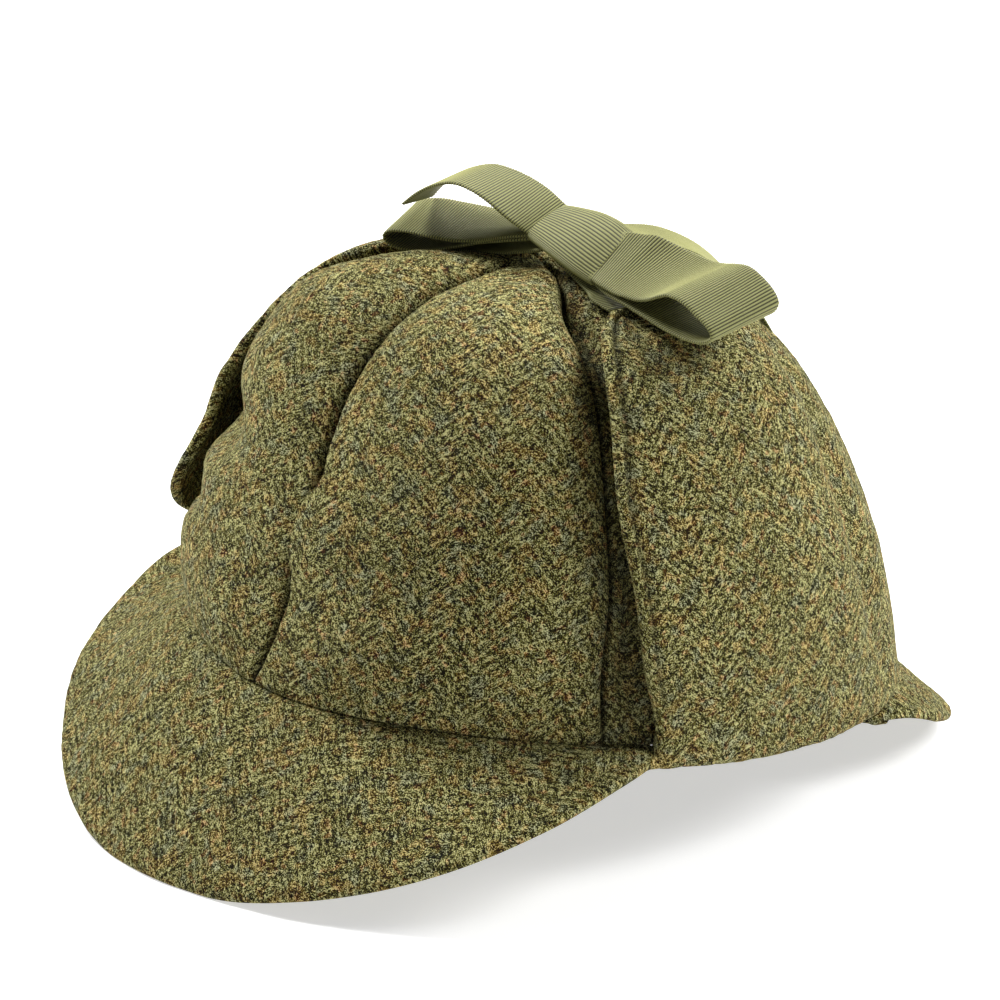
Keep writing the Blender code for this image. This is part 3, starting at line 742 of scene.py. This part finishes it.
def crown_panel(panel, seed, mat):
    """One gore of the crown, with its edges turned in at the seams."""
    rises = even_with_fine_ends(PANEL_LENGTH, PANEL_END_FINE) / PANEL_LENGTH
    u = even_with_fine_ends(PANEL_WIDTH, PANEL_SIDE_FINE) * 2 / PANEL_WIDTH - 1
    middle, half = (panel.start + panel.end) / 2, (panel.end - panel.start) / 2
    share, rise = np.meshgrid(u, rises, indexing="ij")
    start, end = seam_turn(panel.start, rise), seam_turn(panel.end, rise)
    turn = start + (end - start) * (share + 1) / 2
    radius = np.linalg.norm(crown_smooth(middle, rise)[..., :2], axis=-1)
    to_start = (1 + share) * np.radians(half) * radius
    to_end = (1 - share) * np.radians(half) * radius
    to_seam = np.minimum(to_start, to_end)
    to_rim = rise * PANEL_LENGTH
    swell = table_value(CROWN_SECTIONS, rise, "swell") * panel.share - dent_depth(turn, rise)
    swell = swell * (1 - np.abs(share) ** SWELL_POWER)
    swell = swell + seam_rise(panel.start, rise, to_start) + seam_rise(panel.end, rise, to_end)
    sink = SEAM_SINK * bell(to_seam, SEAM_SINK_HALF) * smooth_step((1 - rise) * SEAM_ENDS)
    swell = swell - sink * smooth_step(to_rim / SINK_START)
    valley = VALLEY_DEPTH * bell(np.abs(wrap(turn)) - VALLEY_TURN, VALLEY_HALF)
    ends = smooth_step((VALLEY_TOP - rise) * VALLEY_EASE)
    swell = swell - valley * smooth_step(to_rim / VALLEY_START) * ends
    base = crown_point(turn, rise, swell)
    inside = smooth_step(to_seam / SLACK_EASE) * smooth_step(to_rim / SLACK_EASE)
    swell = swell + slack(base, seed) * inside
    slanted = to_rim + PUCKER_SLANT * to_seam
    pucker = line_noise(slanted, PUCKER_SIZE, seed + PUCKER_SEED) * PUCKER_HEIGHT
    pucker = pucker * bell(to_seam - PUCKER_AT, PUCKER_HALF)
    bumps = woolly(base, seed) * smooth_step(to_seam / WOOL_EASE) + pucker
    full = rounding(to_seam, SEAM_ROUND) * rounding(to_rim, SEAM_ROUND)
    full = full * rounding((1 - rise) * PANEL_LENGTH, TOP_ROUND)
    outer = crown_point(turn, rise, swell - CLOTH / 2 * (1 - full) + bumps)
    inner = crown_point(turn, rise, swell - CLOTH / 2 - CLOTH / 2 * full)
    to_seat = SEAT * (1 - smooth_step(to_rim / WOOL_EASE))
    outer[..., 2] -= to_seat
    inner[..., 2] -= to_seat
    # Painted shade in the seams' creases and in the hollow in front of each flap
    crease = np.maximum(seam_shade(panel.start, rise, to_start),
                        seam_shade(panel.end, rise, to_end))
    crease = np.maximum(crease, VALLEY_SHADE * valley / VALLEY_DEPTH)
    flat = flat_places(base)
    obj = pillow(panel.name + "_cloth", panel.name, outer, inner, flat, mat, crease)


def peak_top(shape, turn, out):
    """Points of a peak's upper face, out = 0 at the crown and 1 at the peak's edge."""
    angle = np.radians(turn)
    away = wrap(turn - shape.middle)
    start = crown_edge(turn, 0.0, -SEAT)
    reach = table_value(shape.rows, away, "reach") * out
    share = out ** shape.bend
    drop = (start[..., 2] - table_value(shape.rows, away, "edge")) * share
    under = np.maximum(SEAT, table_value(shape.rows, away, "seat")) - SEAT
    drop = drop + under * np.minimum(1 - smooth_step((reach - UNDER_START) / UNDER_RUN), 1 - share)
    return start + np.stack([reach * np.sin(angle), -reach * np.cos(angle), -drop], -1)


def peak(shape, seed, mat):
    """A stiff peak with a rounded edge, pressed flat where it stands."""
    start, end = shape.rows[0].turn - shape.extend, shape.rows[-1].turn + shape.extend
    across = even_with_fine_ends(PEAK_LENGTH, PEAK_END_FINE) / PEAK_LENGTH
    outs = even_with_fine_ends(PEAK_DEPTH, PEAK_EDGE_FINE) / PEAK_DEPTH
    turns = shape.middle + start + (end - start) * across
    turn, out = np.meshgrid(turns, outs, indexing="ij")
    top = peak_top(shape, turn, out)
    outward = peak_top(shape, turn, out + OUT_STEP) - top
    aside = peak_top(shape, turn + TURN_STEP, out) - peak_top(shape, turn - TURN_STEP, out)
    normal = unit(np.cross(outward, aside))
    normal *= np.where(normal[..., 2:] < 0, -1, 1)
    level = smooth_step(1 - 2 * out)[..., None]
    normal = unit(normal * (1 - level) + np.array([0, 0, 1.0]) * level)
    size = peak_top(shape, turn, np.ones_like(out)) - peak_top(shape, turn, np.zeros_like(out))
    size = np.linalg.norm(size, axis=-1)
    from_crown = out * size
    tucks = -PEAK_TUCK * np.array(TUCK_SHARES)
    seat = np.maximum(SEAT, table_value(shape.rows, wrap(turns - shape.middle), "seat"))
    hidden = np.stack([crown_edge(turns, tuck, -seat) for tuck in tucks], 1)
    top = np.concatenate([hidden, top], 1)
    normal = np.concatenate([np.broadcast_to([0, 0, 1.0], hidden.shape), normal], 1)
    from_crown = np.concatenate([np.broadcast_to(tucks, hidden.shape[:2]), from_crown], 1)
    to_edge = size[:, :1] - from_crown
    to_side = np.minimum(across, 1 - across)[:, None] * PEAK_LENGTH
    full = rounding(to_edge, PEAK_ROUND) * rounding(to_side, PEAK_ROUND)
    full = full * rounding(from_crown + PEAK_TUCK, TUCK_ROUND)
    soft = slack(top, seed) * smooth_step(from_crown / SLACK_EASE) * PEAK_SLACK
    bumps = (woolly(top, seed) + soft) * smooth_step(from_crown / WOOL_EASE)
    outer = top - normal * (PEAK_CLOTH / 2 * (1 - full) - bumps)[..., None]
    inner = top - normal * (PEAK_CLOTH / 2 * (1 + full) - soft)[..., None]
    outer[..., 2] = np.maximum(outer[..., 2], 0.0)
    inner[..., 2] = np.maximum(inner[..., 2], 0.0)
    angle = np.radians(turn[:, :1])
    edge = top[:, len(tucks)][:, None]
    flat = np.stack([edge[..., 0] + from_crown * np.sin(angle),
                     -edge[..., 1] + from_crown * np.cos(angle)], -1)
    obj = pillow(shape.name + "_cloth", shape.name, outer, inner, flat, mat)


def curve_places(points):
    """Places from 0 to 1 of control points along their curve, closer where they lie close."""
    gaps = np.linalg.norm(np.diff(points, axis=-2), axis=-1)
    gaps = gaps.reshape(-1, points.shape[-2] - 1).mean(0)
    at = np.append(0, np.cumsum(gaps ** CURVE_SPACING))
    return at / at[-1]


def flap_turn(side, front, back, u):
    """Turn of places between a flap's front edge, u = -1, and its back edge, u = 1."""
    return side * (front + (back - front) * (u + 1) / 2)


def flap_face(rows, dents, side, u, rise, extra):
    """Points of a flap's inner face, or of its outer one, extra further out."""
    front, back = table_value(rows, rise, "front_edge"), table_value(rows, rise, "back_edge")
    first, mid, last = (table_value(rows, rise, "lift_" + at) for at in ("front", "middle", "back"))
    bend = (first + last) / 2 - mid
    lift = mid + (last - first) / 2 * u + bend * u * u
    for dent in dents:
        away = ((u - dent.u) / dent.wide) ** 2 + ((rise - dent.rise) / dent.tall) ** 2
        lift = lift - dent.depth * np.exp(-away) * (extra > 0)
    return crown_point(flap_turn(side, front, back, u), rise, lift + extra)


def flap_rows(rows, dents, side, u, is_outer):
    """Points of one face of a flap, row above row from under the fold to the tip."""
    turn = flap_turn(side, rows[0].front_edge, rows[0].back_edge, u)
    face = []
    for fold in FLAP_FOLD:
        out, up = (fold.outer_out, fold.outer_up) if is_outer else (fold.inner_out, fold.inner_up)
        face.append(crown_edge(turn, out, up))
    for rise in np.linspace(rows[0].rise, rows[-1].rise, FLAP_ROWS):
        extra = FLAP_CLOTH if is_outer else 0.0
        face.append(flap_face(rows, dents, side, u, np.full_like(u, rise), extra))
    return np.stack(face)


def ear_flap(name, rows, dents, side, seed, mat):
    """A doubled flap with turned edges and a stitched line inside them."""
    u = even_with_fine_ends(FLAP_WIDTH, EDGE_ROUND) / (FLAP_WIDTH / 2) - 1
    places = even_with_fine_ends(FLAP_LENGTH, EDGE_ROUND) / FLAP_LENGTH
    faces = []
    for is_outer in (True, False):
        face = flap_rows(rows, dents, side, u, is_outer)
        at = curve_places(face.transpose(1, 0, 2))
        faces.append(curve_value(at, face, places).transpose(1, 0, 2))
    outer, inner = faces
    middle, through = (outer + inner) / 2, (outer - inner) / 2
    across = np.linalg.norm(np.diff(outer, axis=0), axis=-1).sum(0)
    to_front = (u[:, None] + 1) / 2 * across
    to_back = (1 - u[:, None]) / 2 * across
    to_tip = np.broadcast_to((1 - places) * FLAP_LENGTH, to_front.shape)
    full = rounding(np.minimum(to_front, to_back), EDGE_ROUND) * rounding(to_tip, EDGE_ROUND)
    full = full * rounding(places * FLAP_LENGTH, EDGE_ROUND)
    to_edge = np.minimum(np.minimum(to_front, to_back), to_tip)
    stitch = bell(to_edge - HEM, HEM_HALF)
    normal = unit(through)
    above_fold = smooth_step((places * FLAP_LENGTH - FOLD_CLEAR) / FOLD_EASE)
    soft = slack(middle, seed) * smooth_step(to_edge / FLAP_SLACK_EASE) * above_fold
    bumps = woolly(middle, seed) - stitch * HEM_DEPTH * above_fold
    raised = bumps * smooth_step(full) + soft
    outer = middle + through * full[..., None] + normal * raised[..., None]
    inner = middle - through * full[..., None] + normal * soft[..., None]
    flat = flat_places(middle)
    # Painted shade along the stitched line
    stitch_shade = stitch * above_fold * HEM_SHADE
    if side < 0:
        outer, inner, flat, middle, stitch_shade = (grid[::-1] for grid in (outer, inner, flat, middle, stitch_shade))
    obj = pillow(name + "_cloth", name, outer, inner, flat, mat, stitch_shade)


def run_on(points, by):
    """Points with one more past the last, in line with the last two."""
    return np.concatenate([points, [points[-1] + unit(points[-1] - points[-2]) * by]])


def ribbon_line(rows, extend_start, extend_end):
    """Middle line, half width vector and arc length along a ribbon, at even steps."""
    top = RIM_HEIGHT + CROWN_TOP
    centres = np.array([[row.along, row.across, top + row.height] for row in rows])
    yaw = np.radians([row.yaw for row in rows])
    lean = np.array([row.lean for row in rows]) / RIBBON_WIDTH
    half = unit(np.stack([-np.sin(yaw), np.cos(yaw), lean], -1))
    half = half * np.array([row.half for row in rows])[:, None]
    if extend_start:
        centres = run_on(centres[::-1], extend_start)[::-1]
        half = np.concatenate([half[:1] * NARROWED, half])
    if extend_end:
        centres = run_on(centres, extend_end)
        half = np.concatenate([half, half[-1:] * NARROWED])
    at = curve_places(centres)
    fine = curve_value(at, np.concatenate([centres, half], 1), np.linspace(0, 1, RIBBON_POINTS))
    steps = np.linalg.norm(np.diff(fine[:, :3], axis=0), axis=1)
    run = np.append(0, np.cumsum(steps))
    count = int(round(run[-1] / RIB_PITCH)) * RIB_SAMPLES
    even = np.linspace(0, run[-1], count + 1)
    both = np.stack([np.interp(even, run, fine[:, k]) for k in range(fine.shape[1])], -1)
    return both[:, :3], both[:, 3:], even


def bow_ribbon(name, rows, seed, mat, extend_start=0.0, extend_end=0.0):
    """Ribbed ribbon with small loops of thread along its edges."""
    centre, half, run = ribbon_line(rows, extend_start, extend_end)
    ahead = unit(np.gradient(centre, axis=0))
    normal = unit(np.cross(ahead, half))
    rib = np.cos(run / RIB_PITCH * 2 * math.pi)
    u = np.sin(np.linspace(-math.pi / 2, math.pi / 2, RIBBON_ACROSS + 1))
    width = np.linalg.norm(half, axis=-1)
    widen = 1 + PICOT / width * np.maximum(rib, 0)
    grid = centre + half * (u[:, None, None] * widen[:, None])
    to_edge = (1 - np.abs(u))[:, None] * width
    full = rounding(to_edge, RIBBON_SIDE_ROUND)
    end = np.minimum(run, run[-1] - run)
    full = full * rounding(end, RIBBON_END_ROUND)
    wave = slack(grid, seed) * RIBBON_SLACK * smooth_step(end / SLACK_EASE)
    thick = RIBBON / 2 * full + rib * RIB_HEIGHT * smooth_step(full)
    outer = grid + normal * (wave + thick)[..., None]
    inner = grid + normal * (wave - thick)[..., None]
    flat = np.stack([u[:, None] * width, np.broadcast_to(run, (len(u), len(run)))], -1)
    obj = pillow(name + "_ribbon", name, outer, inner, flat, mat)


def bow_knot(mat):
    """The turn of ribbon round the middle of the bow, with its ribs along it."""
    top = RIM_HEIGHT + CROWN_TOP
    start, end = KNOT[0].along, KNOT[-1].along
    angles = np.linspace(0, 2 * math.pi, KNOT_RIBS * RIB_SAMPLES, endpoint=False)
    place, size = np.array(KNOT_ENDS).T
    side = np.linspace(KNOT_SIDE, 1 - KNOT_SIDE, KNOT_STEPS)
    along = start + (end - start) * np.concatenate([place, side, 1 - place[::-1]])
    shrink = np.concatenate([size, np.ones(KNOT_STEPS), size[::-1]])
    c, s = np.cos(angles), np.sin(angles)
    flatten = (np.abs(c) ** KNOT_BOX + np.abs(s) ** KNOT_BOX) ** (-1 / KNOT_BOX)
    rib = np.cos(angles * KNOT_RIBS) * RIB_HEIGHT
    wide = (c * flatten) * (table_value(KNOT, along, "half") * shrink)[:, None] + c * rib
    deep = (s * flatten) * (table_value(KNOT, along, "thick") * shrink)[:, None] + s * rib
    tilt = np.radians(table_value(KNOT, along, "tilt"))[:, None]
    across = table_value(KNOT, along, "across")[:, None]
    height = top + table_value(KNOT, along, "height")[:, None]
    pts = np.stack([np.broadcast_to(along[:, None], wide.shape),
                    across + wide * np.cos(tilt) - deep * np.sin(tilt),
                    height + wide * np.sin(tilt) + deep * np.cos(tilt)], -1)
    rows, cols = wide.shape
    ids = np.arange(rows * cols).reshape(rows, cols)
    quads = cell_corners(np.concatenate([ids, ids[:, :1]], 1).T)
    span, round_band = np.meshgrid(along, np.arange(cols + 1) / RIB_SAMPLES * RIB_PITCH)
    uv = cell_corners(np.stack([span, round_band], -1))
    for row, turned in ((0, True), (rows - 1, False)):
        one, other = ids[row][:cols // 2], ids[row][::-1][:cols // 2]
        caps = np.stack([one[:-1], one[1:], other[1:], other[:-1]], -1)
        quads = np.concatenate([quads, caps[:, ::-1] if turned else caps])
        uv = np.concatenate([uv, np.zeros((len(caps), 4, 2))])
    mesh_object("bow_knot_ribbon", "bow_knot", pts.reshape(-1, 3), quads, uv.reshape(-1, 2),
                mat)


class Nodes:
    """Short ways to add shader nodes to a material."""

    def __init__(self, name):
        self.mat = bpy.data.materials.new(name)
        self.mat.use_nodes = True
        self.tree = self.mat.node_tree
        self.shader = self.tree.nodes["Principled BSDF"]

    def put(self, socket, value):
        """Set a socket to a number or link it to an output."""
        if isinstance(value, bpy.types.NodeSocket):
            self.tree.links.new(value, socket)
        else:
            socket.default_value = value

    def add(self, kind, sockets, **settings):
        """New node of a kind, with its settings, and its sockets set or linked."""
        node = self.tree.nodes.new("ShaderNode" + kind)
        for name, value in settings.items():
            setattr(node, name, value)
        for socket, value in sockets.items():
            self.put(node.inputs[socket], value)
        return node

    def surface(self, sockets):
        """Set or link sockets of the shader."""
        for name, value in sockets.items():
            self.put(self.shader.inputs[name], value)

    def math(self, operation, a, b=0.0, c=0.0):
        """Math node's output."""
        return self.add("Math", {0: a, 1: b, 2: c}, operation=operation).outputs[0]

    def weighted(self, *pairs):
        """Sum of values, each times its weight."""
        total = 0.0
        for value, weight in pairs:
            total = self.math("MULTIPLY_ADD", value, weight, total)
        return total

    def noise(self, vector, size, detail=2.0, seed=0.0):
        """Noise from 0 to 1 with cells of a size in metres. Another seed gives another noise."""
        sockets = {"Vector": vector, "W": seed, "Scale": 1 / size, "Detail": detail}
        return self.add("TexNoise", sockets, noise_dimensions="4D").outputs["Fac"]

    def ramp(self, value, low, high):
        """Value from 0 at low to 1 at high, eased."""
        sockets = {"Value": value, "From Min": low, "From Max": high}
        return self.add("MapRange", sockets, interpolation_type="SMOOTHSTEP").outputs["Result"]

    def mix(self, factor, a, b):
        """Mixed colour."""
        sockets = {MIX_FACTOR: factor, MIX_FIRST: a, MIX_SECOND: b}
        return self.add("Mix", sockets, data_type="RGBA").outputs[MIXED]

    def stops(self, value, colours):
        """Colour read from a ramp of (place, colour) stops."""
        node = self.add("ValToRGB", {0: value})
        ramp = node.color_ramp
        for place, colour in colours[1:-1]:
            ramp.elements.new(place)
        for element, (place, colour) in zip(ramp.elements, colours):
            element.position = place
            element.color = colour + (1.0,)
        return node.outputs[0]

    def vector(self, x, y, z):
        """Vector of three values."""
        return self.add("CombineXYZ", {0: x, 1: y, 2: z}).outputs[0]

    def position(self):
        """Place on the piece, in metres."""
        return self.add("TexCoord", {}).outputs["Object"]

    def cloth(self):
        """Place on the cut cloth as x and y, in metres."""
        place = self.add("UVMap", {}, uv_map="cloth").outputs[0]
        return self.add("SeparateXYZ", {0: place}).outputs[:2]

    def bump(self, height, distance, strength=1.0):
        """Bump node's normal."""
        sockets = {"Height": height, "Distance": distance, "Strength": strength}
        return self.add("Bump", sockets).outputs[0]


def wool(middle):
    """Stops of a colour ramp, from the dark between the fibres of a wool to their tips."""
    return [(place, tuple(to_linear(max(part + lift, WOOL_DARKEST)) for part in middle))
            for place, lift in WOOL_LIFTS]


def to_linear(value):
    """Light of a screen value, both 0 to 1."""
    return ((value + 0.055) / 1.055) ** 2.4 if value > 0.04045 else value / 12.92


def tweed_material():
    """Brushed wool tweed in herringbone, olive with ochre, slate and rust wool."""
    n = Nodes("tweed")
    place = n.position()
    x, y = n.cloth()
    wander = n.math("MULTIPLY", n.math("SUBTRACT", n.noise(place, WANDER_SIZE), 0.5), WANDER)
    shifted = n.math("ADD", x, CLOTH_SHIFT)
    zigzag = n.math("PINGPONG", shifted, HERRINGBONE_COLUMN)
    across = n.math("ADD", n.math("ADD", y, zigzag), wander)
    along = n.math("SUBTRACT", zigzag, y)
    column = n.math("FLOOR", n.math("DIVIDE", shifted, HERRINGBONE_COLUMN))
    fibres = n.vector(n.math("MULTIPLY", along, FIBRE_STRETCH), across,
                      n.math("MULTIPLY", column, COLUMN_SHIFT))
    twill = n.math("SINE", n.math("MULTIPLY", across, 2 * math.pi / TWILL_PITCH))
    height = n.weighted((n.noise(place, GRAIN, 0.0), GRAIN_SHARE),
                        (n.noise(place, FLUFF, 0.0, seed=7.0), FLUFF_SHARE),
                        (n.noise(fibres, FIBRE, 0.0), FIBRE_SHARE),
                        (n.noise(place, CLUMP, 1.0, seed=3.0), CLUMP_SHARE),
                        (twill, TWILL_SHARE))
    light = n.ramp(height, WOOL_LOW, WOOL_HIGH)
    color = n.stops(light, wool(OLIVE))
    for fleck in WOOL_FLECKS:
        share = n.ramp(n.noise(place, fleck.size, 1.0, seed=fleck.seed), fleck.low, fleck.high)
        color = n.mix(n.math("MULTIPLY", share, FLECK_SHARE), color,
                      n.stops(light, wool(fleck.tone)))
    # Painted shade from the crease attribute: seams' creases, hollows in front of the flaps, flaps'
    # stitched lines
    crease = n.add("Attribute", {}, attribute_name="crease")
    color = n.mix(n.math("MULTIPLY", crease.outputs["Fac"], CREASE_SHADE_SHARE), color, CREASE_SHADE_COLOUR)
    n.surface({"Base Color": color, "Roughness": 0.92, "Specular IOR Level": 0.10,
               "Sheen Weight": 0.03, "Sheen Roughness": 0.5, "Sheen Tint": SHEEN_COLOUR,
               "Normal": n.bump(height, WOOL_BUMP)})
    return n.mat


def ribbon_material():
    """Grosgrain: close ribs with painted shade in the lines between them, and a soft sheen."""
    n = Nodes("grosgrain")
    place = n.position()
    y = n.cloth()[1]
    turns = n.math("MULTIPLY", y, 2 * math.pi / RIB_PITCH)
    rib = n.math("ADD", n.math("MULTIPLY", n.math("COSINE", turns), 0.5), 0.5)
    thread = n.noise(place, THREAD_SIZE, 1.0)
    crest = n.mix(n.noise(place, TONE_SIZE), CREST_DARK, CREST_LIGHT)
    crest = n.mix(n.math("MULTIPLY", thread, THREAD_SHARE), crest, THREAD_COLOUR)
    # The hollows between the ribs get painted shade
    color = n.mix(n.ramp(rib, RIB_LOW, RIB_HIGH), RIB_HOLLOW_SHADE, crest)
    n.surface({"Base Color": color, "Roughness": 0.6, "Specular IOR Level": 0.22,
               "Sheen Weight": 0.04, "Normal": n.bump(thread, THREAD_BUMP, 0.5)})
    return n.mat


def build_hat():
    """Every piece of the hat."""
    tweed, ribbon = tweed_material(), ribbon_material()
    for seed, panel in enumerate(PANELS, 1):
        crown_panel(panel, seed, tweed)
    for seed, shape in enumerate(PEAKS, 11):
        peak(shape, seed, tweed)
    ear_flap("ear_flap_left", LEFT_FLAP, LEFT_DENTS, 1, 13, tweed)
    ear_flap("ear_flap_right", RIGHT_FLAP, (), -1, 14, tweed)
    bow_ribbon("ribbon_tie_left", TIE_LEFT, 15, ribbon)
    bow_ribbon("ribbon_tie_right", TIE_RIGHT, 16, ribbon)
    bow_knot(ribbon)
    bow_ribbon("bow_loop_left", LOOP_LEFT, 17, ribbon,
               INTO_KNOT, INTO_KNOT)
    bow_ribbon("bow_loop_right", LOOP_RIGHT, 18, ribbon,
               INTO_KNOT, INTO_KNOT)
    bow_ribbon("bow_tail_right", TAIL_RIGHT, 19, ribbon, INTO_KNOT)
    bow_ribbon("bow_tail_back", TAIL_BACK, 20, ribbon, INTO_KNOT)


def add_camera():
    """Camera at the photograph's angle and distance."""
    turn, lift = math.radians(CAMERA_TURN), math.radians(CAMERA_ELEVATION)
    back = Vector((math.sin(turn) * math.cos(lift), -math.cos(turn) * math.cos(lift),
                   math.sin(lift)))
    right = Vector((math.cos(turn), math.sin(turn), 0))
    up = back.cross(right)
    centre = Vector((CROWN_X, CROWN_Y, RIM_HEIGHT))
    aim = centre + right * ((IMAGE / 2 - CENTRE_PIXEL[0]) / PIXELS_PER_METRE)
    aim += up * ((CENTRE_PIXEL[1] - IMAGE / 2) / PIXELS_PER_METRE)
    data = bpy.data.cameras.new("camera")
    data.sensor_width = SENSOR
    data.lens = CAMERA_DISTANCE * PIXELS_PER_METRE / IMAGE * SENSOR
    data.clip_end = CAMERA_REACH
    camera = bpy.data.objects.new("camera", data)
    camera.location = centre + back * CAMERA_DISTANCE
    camera.rotation_euler = (aim - camera.location).to_track_quat("-Z", "Y").to_euler()
    bpy.context.scene.collection.objects.link(camera)
    bpy.context.scene.camera = camera


def add_light(row):
    """Square soft light, turned to the middle of the hat."""
    data = bpy.data.lights.new(row.name, "AREA")
    data.size = row.size
    data.energy = row.power
    light = bpy.data.objects.new(row.name, data)
    light.location = row.place
    down = Vector(LIT_POINT) - Vector(row.place)
    light.rotation_euler = down.to_track_quat("-Z", "Y").to_euler()
    bpy.context.scene.collection.objects.link(light)


def add_studio():
    """White floor, pale light all round, and soft lights from the upper left, right and behind."""
    bpy.ops.mesh.primitive_plane_add(size=FLOOR_SIZE, location=(0, 0, 0))
    floor = bpy.context.object
    floor.name = "floor"
    white = Nodes("studio_white")
    white.surface({"Base Color": (FLOOR_TONE, FLOOR_TONE, FLOOR_TONE, 1), "Roughness": 0.9,
                   "Specular IOR Level": 0.1, "Emission Color": (1, 1, 1, 1),
                   "Emission Strength": FLOOR_GLOW})
    floor.data.materials.append(white.mat)
    world = bpy.data.worlds.new("studio")
    world.use_nodes = True
    sky = world.node_tree.nodes["Background"]
    sky.inputs["Color"].default_value = (1, 1, 1, 1)
    sky.inputs["Strength"].default_value = WORLD_LIGHT
    bpy.context.scene.world = world
    for row in LIGHTS:
        add_light(row)
    bpy.context.scene.view_settings.view_transform = "Standard"


build_hat()
add_camera()
add_studio()
